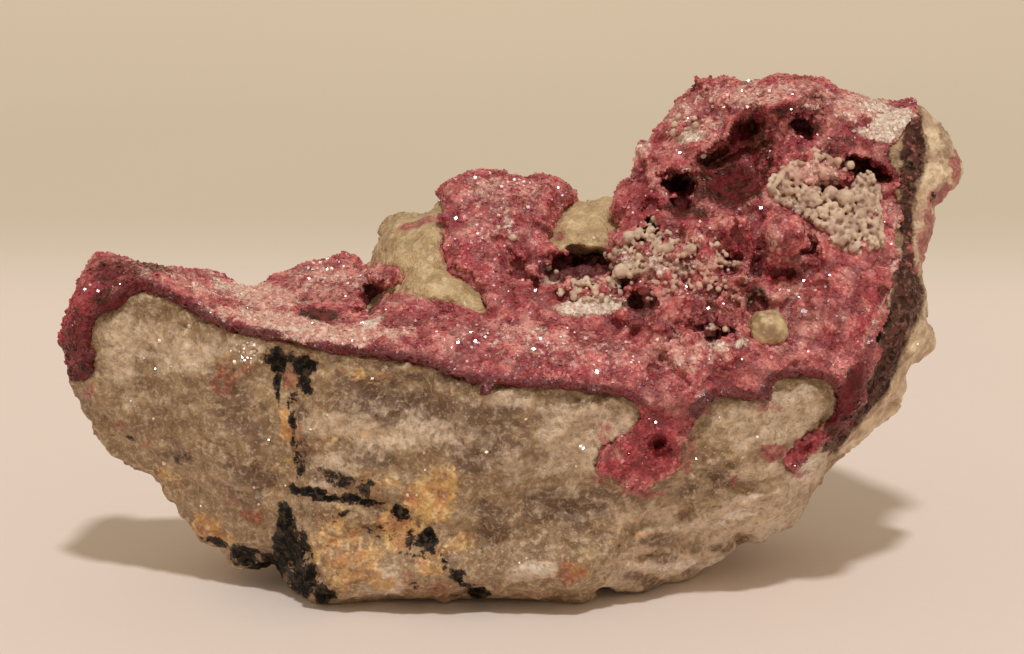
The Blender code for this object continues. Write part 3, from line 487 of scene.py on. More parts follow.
# The wet patch, where the rock's clear crystals glint, and the pink blush on the rock, in the same form
WET = [(250, 354, 19, 13, 10, 1.4)]
ROCK_SPARKLES = [
    (330, 420, 60, 40, 0, 0.7), (390, 450, 60, 30, 10, 0.6), (310, 460, 24, 24, 0, 0.8),
    (330, 500, 60, 16, 10, 0.9), (180, 350, 60, 40, 0, 0.8), (240, 520, 40, 24, 0, 0.6),
    (410, 500, 50, 30, 0, 0.8), (420, 580, 60, 20, 0, 0.6), (600, 430, 60, 40, 0, 0.4),
    (720, 440, 60, 40, 0, 0.5), (520, 560, 60, 24, 0, 0.4), (276, 560, 50, 30, 0, 0.5),
]
BLUSH = [
    (420, 224, 28, 5, -18, 1.0), (388, 272, 16, 9, 0, 1.0), (400, 298, 24, 5, 10, 0.7),
    (444, 246, 6, 26, 0, 0.7), (940, 196, 18, 12, -20, 1.0), (926, 235, 8, 34, 8, 0.9),
    (957, 165, 6, 24, 0, 1.0), (915, 100, 16, 8, 20, 0.8), (905, 180, 10, 30, 0, 0.4),
    (912, 140, 14, 16, 0, 0.3), (735, 483, 5, 4, 0, 1.0), (772, 452, 14, 8, 0, 1.4),
    (606, 436, 10, 18, -20, 0.7), (690, 452, 6, 26, 10, 0.8), (640, 492, 30, 6, 10, 0.9),
    (735, 480, 5, 7, 0, 1.2), (600, 478, 10, 10, 0, 0.6), (705, 412, 10, 8, 0, 0.7),
    (800, 474, 12, 5, -20, 0.8), (600, 238, 30, 4, 8, 0.5), (560, 236, 8, 8, 0, 0.7),
    (918, 268, 6, 12, 0, 0.5), (905, 118, 16, 8, 0, 0.6), (770, 405, 30, 7, 0, 0.5),
    (90, 392, 7, 12, 10, 0.7), (914, 245, 8, 36, 4, 0.5), (512, 592, 40, 8, 0, 0.3),
    (356, 566, 16, 12, 0, 0.35), (236, 500, 30, 12, 0, 0.35),
]

# Tones on the druse: x, y, half width, half height, turn in degrees, strength
PALE_PINK = [
    (330, 280, 60, 16, 0, 0.55), (505, 188, 50, 12, 0, 0.6), (495, 228, 40, 22, 0, 0.4),
    (545, 345, 90, 22, 5, 0.4), (170, 275, 46, 9, 12, 0.5), (285, 325, 80, 8, 12, 1.4),
    (262, 292, 50, 10, 12, 0.98), (348, 335, 34, 8, -8, 1.2), (395, 332, 30, 8, 0, 0.7),
    (690, 112, 34, 16, -35, 0.45), (780, 90, 50, 8, 0, 0.6), (862, 103, 34, 8, 4, 1.0),
    (290, 322, 70, 9, 12, 1.0), (240, 290, 34, 10, 15, 0.9), (270, 300, 40, 12, 0, 0.8),
    (345, 332, 30, 10, -10, 0.8), (205, 290, 24, 8, 20, 0.7), (330, 338, 60, 7, 4, 0.9),
    (210, 272, 24, 8, 0, 0.5), (700, 130, 40, 14, -30, 0.6), (745, 96, 50, 14, 0, 0.7),
    (690, 175, 20, 8, 10, 0.5), (860, 110, 30, 16, 0, 0.7), (640, 150, 12, 12, 0, 0.6),
    (520, 340, 60, 20, 0, 0.3), (500, 205, 60, 10, 0, 0.4), (720, 290, 60, 30, 0, 0.4),
    (690, 350, 50, 24, 0, 0.5), (480, 330, 50, 12, 0, 0.3), (815, 172, 26, 14, 0, 1.2),
    (870, 240, 16, 20, 0, 0.3), (795, 290, 20, 10, 0, 0.4), (896, 246, 4, 40, 4, 0.7),
    (903, 226, 3, 20, 0, 0.8), (772, 243, 9, 7, 0, 0.5), (610, 345, 40, 18, 0, 0.3),
    (870, 330, 5, 40, 30, 0.5), (820, 100, 26, 10, 0, 0.5), (690, 238, 22, 12, 0, 0.6),
]
DEEP_PINK = [
    (650, 450, 30, 26, 0, 2.0), (650, 420, 26, 14, 0, 1.0), (808, 448, 26, 12, -30, 1.8),
    (618, 470, 20, 10, 20, 1.0), (756, 264, 8, 14, 0, 1.0), (778, 278, 22, 5, 0, 1.2),
    (751, 238, 5, 12, 0, 0.9), (802, 236, 5, 10, 0, 0.8), (800, 404, 30, 12, -20, 0.5),
    (640, 205, 26, 26, 0, 0.7), (470, 250, 30, 40, 0, 0.5), (505, 285, 40, 12, 0, 0.5),
    (735, 245, 30, 20, 0, 0.5), (70, 335, 18, 46, 10, 1.5), (66, 360, 14, 30, 0, 1.0),
    (868, 322, 16, 50, 20, 0.6), (92, 295, 22, 30, 0, 0.9), (440, 318, 60, 10, 8, 0.6),
    (870, 170, 24, 10, 20, 0.9), (745, 400, 30, 14, 0, 0.5), (560, 300, 60, 10, 0, 0.4),
    (760, 200, 10, 40, 0, 0.5), (700, 325, 30, 10, 0, 0.4),
]
BROWN = [
    (733, 185, 30, 24, 0, 1.0), (748, 138, 22, 20, -20, 1.0), (720, 158, 34, 8, -22, 0.9),
    (765, 160, 10, 30, 10, 0.6), (800, 112, 36, 8, 0, 0.6), (862, 128, 20, 10, 0, 0.4),
    (755, 300, 12, 16, -20, 0.9), (840, 145, 22, 12, 0, 0.4), (897, 160, 12, 16, 0, 0.9),
    (899, 200, 6, 12, 0, 0.5), (320, 316, 22, 9, 8, 0.9), (300, 300, 14, 5, 0, 0.6),
    (120, 275, 34, 14, 10, 0.6), (110, 300, 22, 14, 0, 0.7), (74, 335, 14, 40, 10, 0.5),
    (84, 385, 14, 30, 0, 0.7), (150, 268, 30, 6, 8, 0.6), (680, 208, 16, 12, 0, 0.8),
    (880, 300, 6, 40, 12, 0.3), (255, 312, 34, 5, 14, 0.5), (705, 185, 20, 20, 0, 0.6),
    (345, 350, 12, 4, 0, 0.4), (850, 395, 12, 34, 12, 0.9), (833, 430, 12, 14, 0, 0.9),
    (700, 215, 20, 10, 0, 0.5),
]
WHITE_CRUST = [
    (895, 122, 24, 15, 0, 1.5), (878, 134, 22, 8, 10, 0.98), (874, 104, 22, 6, 5, 0.7),
    (690, 137, 15, 7, -20, 1.0), (592, 306, 40, 10, -2, 1.0), (552, 280, 12, 5, 0, 0.7),
    (640, 262, 34, 20, 0, 0.45), (372, 322, 14, 4, -30, 1.0), (672, 268, 24, 12, 10, 0.4),
    (700, 262, 24, 10, 0, 0.35), (300, 330, 50, 5, 8, 0.5), (230, 288, 30, 5, 20, 0.4),
    (741, 342, 8, 8, 0, 0.6), (716, 344, 14, 6, 0, 0.5), (540, 330, 14, 8, 0, 0.4),
    (505, 225, 14, 10, 0, 0.35),
]

# These by name, each with a seed, and the picture's columns along which the dark lip fades
DRUSE_TONES = {
    "pale": (PALE_PINK, 610), "deep": (DEEP_PINK, 620), "brown": (BROWN, 630), "white": (WHITE_CRUST, 640),
}
LIP_FADES = (850, 885)

# Where the druse sparkles most: x, y, half width, half height, turn in degrees, strength
SPARKLES = [
    (500, 182, 46, 9, 0, 1.0), (480, 225, 30, 26, 0, 0.7), (560, 200, 26, 14, 20, 0.7),
    (470, 345, 60, 14, 4, 0.8), (560, 350, 70, 20, 6, 0.8), (520, 285, 50, 12, 0, 0.6),
    (690, 105, 44, 20, -35, 0.8), (735, 100, 40, 14, -10, 0.7), (825, 300, 34, 30, 0, 1.0),
    (780, 240, 24, 14, 0, 0.8), (650, 200, 26, 36, 0, 0.5), (690, 300, 50, 20, 0, 0.7),
    (700, 360, 60, 14, 0, 0.7), (330, 275, 50, 14, 0, 0.5), (110, 290, 30, 20, 0, 0.6),
    (255, 345, 20, 10, 0, 0.5), (660, 420, 24, 14, 0, 0.7), (815, 130, 40, 16, 0, 0.6),
    (640, 440, 26, 26, 0, 0.4), (865, 150, 30, 14, 0, 0.4),
]

# The brown seam on the rock between crust and pale rind, and its ends: x, y, half width in millimetres
SEAM = [
    (914, 128, 1.2), (913, 150, 2.4), (910, 175, 2.0), (907, 192, 1.4), (906, 208, 1.2), (907, 232, 0.8),
    (909, 252, 0.9), (906, 275, 2.0), (903, 300, 2.5), (899, 325, 2.7), (891, 350, 2.5), (881, 372, 2.2),
    (868, 395, 2.1), (856, 415, 1.8), (843, 432, 1.7), (832, 447, 1.4),
]
SEAM_WAVES = (26, 401)
SEAM_TOP, SEAM_BOTTOM = (100, 125), (445, 462)
SEAM_GRAINS_END = 450

# The picture's column at which the druse's small crystals are split into two pieces
RHOMBS_SPLIT = 560

# Directions: towards the viewer, towards the druse's open side, and half way between viewer and lamp
TOWARDS_VIEWER = np.array([0, -0.97, 0.24])
OPEN_SIDE = np.array([0, -0.8, 0.6])
TOWARDS_GLINT = np.array([0, -0.775, 0.632])

# Large numbers that stir the whole numbers of a cell, its corners and neighbours, and a distance beyond any
CELL_FACTORS = (73856093, 19349663, 83492791)
STIRRINGS = ((13, 1274126177), (15, 668265263))
CORNERS = np.array([(i, j, k) for i in (0, 1) for j in (0, 1) for k in (0, 1)])
NEIGHBOURS = np.array([(i, j, k) for i in (-1, 0, 1) for j in (-1, 0, 1) for k in (-1, 0, 1)])
FAR = 9.0

# Colours: the light that they are chosen for, the druse's and the grains' share of it, and fixed ones
LIGHT_LEVEL = (0.75, 0.69, 0.60)
DRUSE_GAIN = 0.98
GRAIN_GAIN = 1.03
STAIN_BLACK = (0.004, 0.0035, 0.0025, 1)
BAND_LEAN, BAND_STRETCH = (0, 0.45, 0), (0.6, 1, 1.3)
MIDDLE_GREY = (0.5, 0.5, 0.5)
DOLOMITE_IOR = 1.55
CRYSTAL_IOR = 1.62

# The lamp, the glow all round and the floor, with the distances in millimetres at which it gets darker
LAMP_TINT = (1.0, 0.975, 0.96)
LAMP_POWER = 95.0
LAMP_SIZE = 0.38
LAMP_PLACE = (0.24, -1.96, 4.10)
SURROUND_TINT = (1.0, 0.82, 0.61)
SURROUND_STRENGTH = 0.48
FLOOR_COLOUR = (0.88, 0.785, 0.727)
# The floor's darker share behind the piece is painted shade standing in for a backdrop wall turned from the
# lamp; the far share lightens it again, painted light against the lamp's fall-off
NEAR_SHADE, FAR_SHADE = (0.81, 0.81, 0.71), (0.92, 0.92, 0.81)
SHADE_FROM, SHADE_TO, SHADE_END = 165.0, 275.0, 650.0


def smoothed(points, step, closed=True):
    """A smooth curve through given points, walked in even steps (picture units)."""
    count = len(points)
    dense = []
    for index in range(count if closed else count - 1):
        if closed:
            a, b, c, d = (Vector(points[(index + shift) % count]) for shift in (-1, 0, 1, 2))
        else:
            a, b, c, d = (Vector(points[min(max(index + shift, 0), count - 1)]) for shift in (-1, 0, 1, 2))
        for part in range(8):
            t = part / 8
            dense.append(0.5 * (2 * b + (c - a) * t + (2 * a - 5 * b + 4 * c - d) * t * t
                                + (3 * b - a - 3 * c + d) * t ** 3))
    dense.append(dense[0] if closed else Vector(points[-1]))
    lengths = np.cumsum([0] + [(dense[i + 1] - dense[i]).length for i in range(len(dense) - 1)])
    pieces = max(3, round(lengths[-1] * MM_PER_UNIT / step))
    stations = np.linspace(0, lengths[-1], pieces + 1)
    xs = np.interp(stations, lengths, [point.x for point in dense])
    ys = np.interp(stations, lengths, [point.y for point in dense])
    walked = np.column_stack([xs, ys])
    return walked[:-1] if closed else walked


def table(x, rows):
    """Reads a table of (x, value) rows at x."""
    return np.interp(x, [row[0] for row in rows], [row[1] for row in rows])


def relief(points, size, height, seed):
    """Smooth uneven heights over the picture, with forms about size millimetres wide."""
    scale = MM_PER_UNIT / size
    return height * np.array([noise.noise(Vector((x * scale, y * scale, seed))) for x, y in points])


def distance_to(points, line, closed=True):
    """The distance in millimetres from each point to a line of points."""
    starts = np.asarray(line, float)
    ends = np.roll(starts, -1, axis=0)
    if not closed:
        starts, ends = starts[:-1], ends[:-1]
    along = ends - starts
    found = []
    for part in np.array_split(points, max(1, len(points) // 3000)):
        offset = part[:, None, :] - starts[None]
        share = np.clip((offset * along).sum(2) / np.maximum((along ** 2).sum(1), 1e-9), 0, 1)
        nearest = offset - share[..., None] * along
        found.append(np.sqrt((nearest ** 2).sum(2)).min(1))
    return np.concatenate(found) * MM_PER_UNIT


def inside(points, polygon):
    """Whether each point lies inside a polygon."""
    polygon = np.asarray(polygon, float)
    following = np.roll(polygon, -1, axis=0)
    found = []
    for part in np.array_split(points, max(1, len(points) // 8000)):
        x, y = part[:, 0, None], part[:, 1, None]
        crosses = (polygon[:, 1] > y) != (following[:, 1] > y)
        rise = np.where(following[:, 1] == polygon[:, 1], 1e-9, following[:, 1] - polygon[:, 1])
        at = polygon[:, 0] + (y - polygon[:, 1]) / rise * (following[:, 0] - polygon[:, 0])
        found.append((crosses & (x < at)).sum(1) % 2 == 1)
    return np.concatenate(found)


def inset(points, amounts):
    """Moves the points of a clockwise outline (as seen in the picture) inwards by amounts in units."""
    ahead = np.roll(points, -1, axis=0) - np.roll(points, 1, axis=0)
    ahead /= np.linalg.norm(ahead, axis=1)[:, None]
    inwards = np.column_stack([-ahead[:, 1], ahead[:, 0]])
    return points + inwards * amounts[:, None]


def oval(points, x, y, half_width, half_height, turn=0.0):
    """How far each point lies from an oval's middle: one on its edge."""
    angle = math.radians(turn)
    dx, dy = points[:, 0] - x, points[:, 1] - y
    across = (dx * math.cos(angle) + dy * math.sin(angle)) / half_width
    up = (dy * math.cos(angle) - dx * math.sin(angle)) / half_height
    return np.sqrt(across ** 2 + up ** 2)


def mound(points, x, y, half_width, half_height, turn=0.0):
    """A round form: one at its middle, falling to nothing at its edge."""
    return np.clip(1 - oval(points, x, y, half_width, half_height, turn) ** 2, 0, None) ** 0.8


def stepped(values, low, high):
    """Zero below low, one above high, smooth between."""
    share = np.clip((values - low) / (high - low), 0, 1)
    return share * share * (3 - 2 * share)


def hashed(numbers, seed):
    """Even numbers from 0 to 1, one for each whole-number cell."""
    number = seed * 9176 + 77
    for axis, factor in enumerate(CELL_FACTORS):
        number = number ^ numbers[..., axis] * factor
    for shift, factor in STIRRINGS:
        number = ((number ^ (number >> shift)) * factor) & 0x7FFFFFFF
    return ((number ^ (number >> 11)) & 0xFFFFF) / 0xFFFFF


def hashed_places(numbers, seed):
    """Three such numbers for each cell."""
    return np.column_stack([hashed(numbers, seed + axis) for axis in range(3)])


def swell(points, size, seed):
    """Smooth noise from -1 to 1 with forms about size wide."""
    scaled = points / size
    cell = np.floor(scaled).astype(np.int64)
    part = scaled - cell
    part = part * part * (3 - 2 * part)
    total = np.zeros(len(points))
    for corner in CORNERS:
        near = np.abs(1 - corner - part)
        total += near[:, 0] * near[:, 1] * near[:, 2] * hashed(cell + corner, seed)
    return total * 2 - 1


def rough(points, size, seed, octaves=3, gain=0.55):
    """Noise of several sizes, each half as wide as the last."""
    return sum(swell(points, size / 2 ** octave, seed + octave) * gain ** octave for octave in range(octaves))


def grains(points, size, seed):
    """Distances to the nearest and the second nearest of scattered seeds, in sizes."""
    scaled = points / size
    cell = np.floor(scaled).astype(np.int64)
    first = np.full(len(points), FAR)
    second = np.full(len(points), FAR)
    for shift in NEIGHBOURS:
        there = cell + shift
        away = np.linalg.norm(scaled - (there + hashed_places(there, seed)), axis=1)
        second = np.where(away < first, first, np.minimum(second, away))
        first = np.minimum(first, away)
    return first, second


def facets(points, size, seed, slope):
    """Heights of broken faces about size wide, each tilted its own way."""
    scaled = points / size
    cell = np.floor(scaled).astype(np.int64)
    first = np.full(len(points), FAR)
    height = np.zeros(len(points))
    for shift in NEIGHBOURS:
        there = cell + shift
        offset = scaled - there - hashed_places(there, seed)
        tilt = 2 * hashed_places(there, seed + 6) - 1
        away = np.linalg.norm(offset, axis=1)
        face = (offset * tilt).sum(1) + 0.5 * (hashed(there, seed + 9) - 0.5)
        height = np.where(away < first, face, height)
        first = np.minimum(first, away)
    return height * size * slope


def bare_front(points):
    """Depth of the rock's front before its rim is rounded."""
    x, y = points[:, 0], points[:, 1]
    edge = table(x, EDGE_HEIGHT)
    rise = np.clip(edge - y, 0, None) * MM_PER_UNIT * table(x, RISE_SLOPE)
    fall = np.clip((y - edge) / (table(x, RIM_HEIGHT) - edge), 0, 0.98)
    bow = fall * (STRAIGHT_SHARE + (1 - STRAIGHT_SHARE) * fall)
    depth = table(x, EDGE_DEPTH) + rise + (table(x, RIM_DEPTH) - table(x, EDGE_DEPTH)) * bow
    return depth + sum(relief(points, *forms) for forms in FRONT_RELIEF)


def rim_profile(distance, radius):
    """Zero at the outline and one from the given distance inwards, round like a quarter circle."""
    share = np.clip(distance / radius, 0, 1)
    return np.sqrt(1 - (1 - share) ** 2)


def rest_limit(points):
    """The depth at which the view through a picture point meets the surface that the rock rests on."""
    height = (PICTURE_BASE - points[:, 1]) * MM_PER_UNIT
    below_centre = (points[:, 1] - VIEW_CENTRE[1]) * MM_PER_UNIT / VIEW_DISTANCE
    return np.clip(height, 0, None) / np.maximum(math.tan(VIEW_ANGLE) + below_centre, 0.02)


def flat_rough(points, size, seed):
    """Noise of several sizes over the picture."""
    return rough(np.column_stack([points, np.zeros(len(points))]), size, seed)


def shaken(points, reach, size, seed):
    """The points moved about a little, so that drawn forms get uneven edges."""
    waves = [flat_rough(points, size, seed), flat_rough(points, size, seed + 40)]
    return points + reach * np.column_stack(waves)


def hole_depth(points):
    """Depth of the open holes in millimetres."""
    moved = shaken(points, *HOLE_SHAKE)
    deep = np.zeros(len(points))
    for x, y, half_width, half_height, turn, depth in HOLES:
        within = 1 - stepped(oval(moved, x, y, half_width, half_height, turn), *HOLE_WALL)
        deep = np.maximum(deep, HOLE_SHARE * depth * within)
    return deep


def groove_depth(points, rows):
    """Depth of the grooves, and height of the ridges below zero, in millimetres."""
    moved = shaken(points, *GROOVE_SHAKE)
    deep = np.zeros(len(points))
    for half_width, depth, *line in rows:
        low, high = np.min(line, axis=0) - GROOVE_MARGIN, np.max(line, axis=0) + GROOVE_MARGIN
        near = np.flatnonzero(((moved > low) & (moved < high)).all(1))
        if len(near):
            away = distance_to(moved[near], line, closed=False) / MM_PER_UNIT
            deep[near] += depth * (1 - stepped(away, *(share * half_width for share in GROOVE_WALL)))
    return deep


def pushed_in(places):
    """The front's holes, grooves and ridges, made along the view."""
    points, depth = picture(places), sight_depth(places)
    near = depth < PUSHED_BEFORE
    moved = places.copy()
    covered = under_crust(points[near])
    shift = groove_depth(points[near], GROOVES) * covered + groove_depth(points[near], ROCK_LINES) * ~covered
    moved[near] = world(points[near], depth[near] + shift + hole_depth(points[near]))
    return moved


def front_depth(points, outline):
    """Depth of the rock's front: broad form, hollows, forms of the bare rock and a rounded rim."""
    depth = bare_front(points)
    for x, y, half_width, half_height, turn, deep in HOLLOWS:
        depth += deep * mound(points, x, y, half_width * HOLLOW_REACH, half_height * HOLLOW_REACH, turn)
    for x, y, radius, high in ROCK_FORMS:
        depth -= high * mound(points, x, y, radius, radius)
    moved = shaken(points, *EXPOSURE_SHAKE)
    for exposure in EXPOSURES:
        rise = stepped(distance_to(moved, exposure), 0, EXPOSURE_SLOPE)
        depth -= EXPOSURE_RISE * np.where(inside(moved, exposure), rise, 0)
    low = stepped(points[:, 1], *FOOT_TOP) * (1 - stepped(points[:, 1], *FOOT_BOTTOM))
    low = low * stepped(points[:, 0], *FOOT_LEFT) * (1 - stepped(points[:, 0], *FOOT_RIGHT))
    depth -= FOOT_OVERHANG * low
    distance = distance_to(points, outline)
    depth += table(points[:, 0], SILHOUETTE_SETBACK) * (1 - rim_profile(distance, FRONT_ROUNDING))
    return np.minimum(depth, rest_limit(points))


def back_depth(points, outline):
    """Depth of the rock's back, which meets the front along the outline."""
    behind = table(points[:, 0], BACK_DEPTH) + sum(relief(points, *forms) for forms in BACK_RELIEF)
    behind += np.abs(relief(points, *BACK_CREASES))
    rim = front_depth(points, outline)
    share = rim_profile(distance_to(points, outline), BACK_ROUNDING)
    return np.minimum(rim + (np.maximum(behind, rim + 1) - rim) * share, rest_limit(points))


def world(points, depth):
    """Turns picture points and their depth into places in millimetres, +Z up, resting on Z = 0."""
    spread = 1 + depth / VIEW_DISTANCE
    across = (VIEW_CENTRE[0] - PICTURE_MIDDLE + (points[:, 0] - VIEW_CENTRE[0]) * spread) * MM_PER_UNIT
    up = (PICTURE_BASE - VIEW_CENTRE[1] - (points[:, 1] - VIEW_CENTRE[1]) * spread) * MM_PER_UNIT
    y = up * VIEW_SIN + depth * VIEW_COS - BACK_DEPTH_SHIFT
    z = up * VIEW_COS - depth * VIEW_SIN
    return np.column_stack([across, y, np.maximum(z, 0)])


def picture(places):
    """The picture point at which a place in millimetres is seen."""
    y = places[:, 1] + BACK_DEPTH_SHIFT
    up = (y * VIEW_SIN + places[:, 2] * VIEW_COS) / MM_PER_UNIT
    spread = 1 + (y * VIEW_COS - places[:, 2] * VIEW_SIN) / VIEW_DISTANCE
    seen_x = VIEW_CENTRE[0] + (places[:, 0] / MM_PER_UNIT - VIEW_CENTRE[0] + PICTURE_MIDDLE) / spread
    return np.column_stack([seen_x, VIEW_CENTRE[1] + (PICTURE_BASE - VIEW_CENTRE[1] - up) / spread])


def sight_depth(places):
    """How far behind the picture's plane a place in millimetres lies."""
    return (places[:, 1] + BACK_DEPTH_SHIFT) * VIEW_COS - places[:, 2] * VIEW_SIN


def scattered(outline, step, keep_off, seed):
    """Points in a staggered, slightly shaken grid inside an outline, clear of the given lines."""
    spacing = step / MM_PER_UNIT
    rng = np.random.default_rng(seed)
    low, high = outline.min(0), outline.max(0)
    rows = []
    for row, y in enumerate(np.arange(low[1], high[1], spacing * 0.866)):
        xs = np.arange(low[0] + (row % 2) * spacing / 2, high[0], spacing)
        rows.append(np.column_stack([xs, np.full(len(xs), y)]))
    points = np.vstack(rows)
    points += rng.uniform(-0.16, 0.16, points.shape) * spacing
    points = points[inside(points, outline)]
    for line in keep_off:
        points = points[distance_to(points, line) > 0.55 * step]
    return points


def triangulated(outline, lines, points):
    """A triangle mesh of the outline's inside that follows every line, with faces towards the viewer."""
    vertices = [Vector(point) for point in outline]
    edges = [(i, (i + 1) % len(outline)) for i in range(len(outline))]
    for line in lines:
        kept = inside(line, outline) & (distance_to(line, outline) > 0.5 * LUMP_STEP)
        for index, point in enumerate(line):
            if kept[index] and index and kept[index - 1]:
                edges.append((len(vertices) - 1, len(vertices)))
            if kept[index]:
                vertices.append(Vector(point))
    vertices += [Vector(point) for point in points]
    made = delaunay_2d_cdt(vertices, edges, [], 1, 1e-6)
    flat, triangles = np.array([tuple(vertex) for vertex in made[0]]), np.array(made[2])[:, ::-1]
    return flat, triangles[inside(flat[triangles].mean(1), outline)]


def ring(outline, amount):
    """Points in a row inside an outline, amount millimetres from it."""
    moved = inset(outline, np.full(len(outline), amount / MM_PER_UNIT))
    moved = moved[inside(moved, outline)]
    kept = moved[distance_to(moved, outline) > 0.85 * amount]
    spaced = [kept[0]]
    for point in kept[1:]:
        if np.linalg.norm(np.array(spaced) - point, axis=1).min() * MM_PER_UNIT > 0.7 * OUTLINE_STEP:
            spaced.append(point)
    return np.array(spaced)


def crust_reach():
    """A wide polygon whose inside holds everything that the crust covers."""
    edge = smoothed(CRUST_EDGE, CRUST_STEP, closed=False)
    around = [(OUTSIDE, CRUST_EDGE[-1][1]), (OUTSIDE, OUTSIDE), (CRUST_EDGE[0][0], OUTSIDE)]
    return np.vstack([around, edge])


def rock_outline():
    """The rock's own outline, which lies under the crust's rim where the crust covers it."""
    measured = smoothed(OUTLINE_CRUST + OUTLINE_ROCK, OUTLINE_STEP)
    covered = inside(measured, crust_reach()) & ~inside(measured, UPPER_EXPOSURE)
    window = 7
    around = np.tile(covered.astype(float), 3)
    cover = np.convolve(around, np.ones(window) / window, "same")[len(measured):2 * len(measured)]
    return inset(measured, cover * RIM_INSET / MM_PER_UNIT)


def face_normals(places, faces):
    """Area-weighted normals of the vertices, from the faces round each."""
    corners = places[faces]
    last = corners[:, 3] if faces.shape[1] == 4 else corners[:, 0]
    facing = np.cross(corners[:, 2] - corners[:, 0], last - corners[:, 1])
    normals = np.zeros_like(places)
    for corner in range(faces.shape[1]):
        for axis in range(3):
            normals[:, axis] += np.bincount(faces[:, corner], facing[:, axis], len(places))
    return normals / np.maximum(np.linalg.norm(normals, axis=1), 1e-12)[:, None]


def softened(values, faces, rounds):
    """Values of the vertices evened out with their neighbours'."""
    sides = faces.shape[1]
    for _ in range(rounds):
        total = values.copy()
        count = np.ones(len(values))
        for corner in range(sides):
            a, b = faces[:, corner], faces[:, (corner + 1) % sides]
            for first, second in ((a, b), (b, a)):
                count += np.bincount(first, minlength=len(values))
                if values.ndim == 1:
                    total += np.bincount(first, values[second], len(values))
                else:
                    for axis in range(values.shape[1]):
                        total[:, axis] += np.bincount(first, values[second, axis], len(values))
        values = total / count.reshape(-1, *([1] * (values.ndim - 1)))
    return values


def layer(places, normals, triangles, low, high):
    """A closed sheet over some triangles, from low to high millimetres above their vertices."""
    count = len(places)
    below = places + normals * low[:, None]
    above = places + normals * high[:, None]
    sides = {}
    for a, b, c in triangles:
        for start, end in ((a, b), (b, c), (c, a)):
            if (end, start) in sides:
                del sides[(end, start)]
            else:
                sides[(start, end)] = True
    walls = []
    for start, end in sides:
        walls += [(start, start + count, end + count), (start, end + count, end)]
    faces = np.vstack([triangles[:, ::-1], triangles + count, np.array(walls)])
    return np.vstack([below, above]), faces


def new_object(name, places, faces, finish=None, smooth=False):
    """A mesh object from places in millimetres."""
    mesh = bpy.data.meshes.new(name)
    mesh.from_pydata((places / 1000).tolist(), [], faces.tolist())
    if smooth:
        mesh.shade_smooth()
    if finish:
        mesh.materials.append(finish)
    made = bpy.data.objects.new(name, mesh)
    bpy.context.scene.collection.objects.link(made)
    return made


def fused(places, faces, voxel):
    """The skin of everything that the faces enclose, as even quads."""
    raw = new_object("raw", places, faces)
    joined = raw.modifiers.new("fused", "REMESH")
    joined.mode = "VOXEL"
    joined.voxel_size = voxel / 1000
    shown = raw.evaluated_get(bpy.context.evaluated_depsgraph_get())
    mesh = shown.to_mesh()
    found = np.empty(len(mesh.vertices) * 3)
    mesh.vertices.foreach_get("co", found)
    corners = np.empty(len(mesh.loops), dtype=np.int64)
    mesh.loops.foreach_get("vertex_index", corners)
    quads = corners.reshape(-1, 4)
    shown.to_mesh_clear()
    bpy.data.objects.remove(raw)
    return found.reshape(-1, 3) * 1000, quads


def lightened(places, faces, most):
    """The same skin with no more than most triangles: fewer where it is smooth."""
    count = len(faces) * (faces.shape[1] - 2)
    if count <= most:
        return places, faces
    raw = new_object("raw", places, faces)
    raw.modifiers.new("lightened", "DECIMATE").ratio = most / count
    shown = raw.evaluated_get(bpy.context.evaluated_depsgraph_get())
    mesh = shown.to_mesh()
    mesh.calc_loop_triangles()
    found = np.empty(len(mesh.vertices) * 3)
    mesh.vertices.foreach_get("co", found)
    corners = np.empty(len(mesh.loop_triangles) * 3, dtype=np.int32)
    mesh.loop_triangles.foreach_get("vertices", corners)
    shown.to_mesh_clear()
    bpy.data.objects.remove(raw)
    return found.reshape(-1, 3) * 1000, corners.reshape(-1, 3).astype(np.int64)


def unit_ball():
    """Vertices and triangles of a small round body of radius one."""
    body = bmesh.new()
    bmesh.ops.create_icosphere(body, subdivisions=2, radius=1)
    body.verts.ensure_lookup_table()
    vertices = np.array([tuple(vertex.co) for vertex in body.verts])
    faces = np.array([[vertex.index for vertex in face.verts] for face in body.faces])
    body.free()
    return vertices, faces


def balls(centres, radii):
    """Many small balls as one set of places and faces."""
    vertices, faces = unit_ball()
    places = (centres[:, None, :] + vertices[None] * radii[:, None, None]).reshape(-1, 3)
    numbered = faces[None] + (np.arange(len(centres)) * len(vertices))[:, None, None]
    return places, numbered.reshape(-1, 3)


def ball_sets(sets):
    """The same for several sets of middles and radii."""
    return balls(np.vstack([made[0] for made in sets]), np.concatenate([made[1] for made in sets]))


def together(*parts):
    """Several sets of places and faces as one."""
    places, faces, count = [], [], 0
    for some_places, some_faces in parts:
        places.append(some_places)
        faces.append(some_faces + count)
        count += len(some_places)
    return np.vstack(places), np.vstack(faces)


def thinned(places, spacing, seed):
    """Numbers of places of which no more than one lies in each small cube."""
    order = np.random.default_rng(seed).permutation(len(places))
    cubes = np.floor(places[order] / spacing).astype(np.int64)
    _, kept = np.unique(cubes, axis=0, return_index=True)
    return order[kept]


def toned(points, forms, reach, size, seed):
    """How strongly a list of drawn forms covers each picture point."""
    moved = shaken(points, reach, size, seed)
    found = np.zeros(len(points))
    for x, y, half_width, half_height, turn, strength in forms:
        away = oval(moved, x, y, half_width, half_height, turn)
        found = np.maximum(found, strength * (1 - stepped(away, *TONE_EDGE)))
    return found


def rock_tone(points, name):
    """How strongly a named tone of the rock covers each picture point."""
    forms, seed, *_ = ROCK_TONES[name]
    return toned(points, forms, *ROCK_SHAKE, seed)


def druse_tone(points, name):
    """How strongly a named tone of the druse covers each picture point."""
    forms, seed = DRUSE_TONES[name]
    return toned(points, forms, *DRUSE_SHAKE, seed)


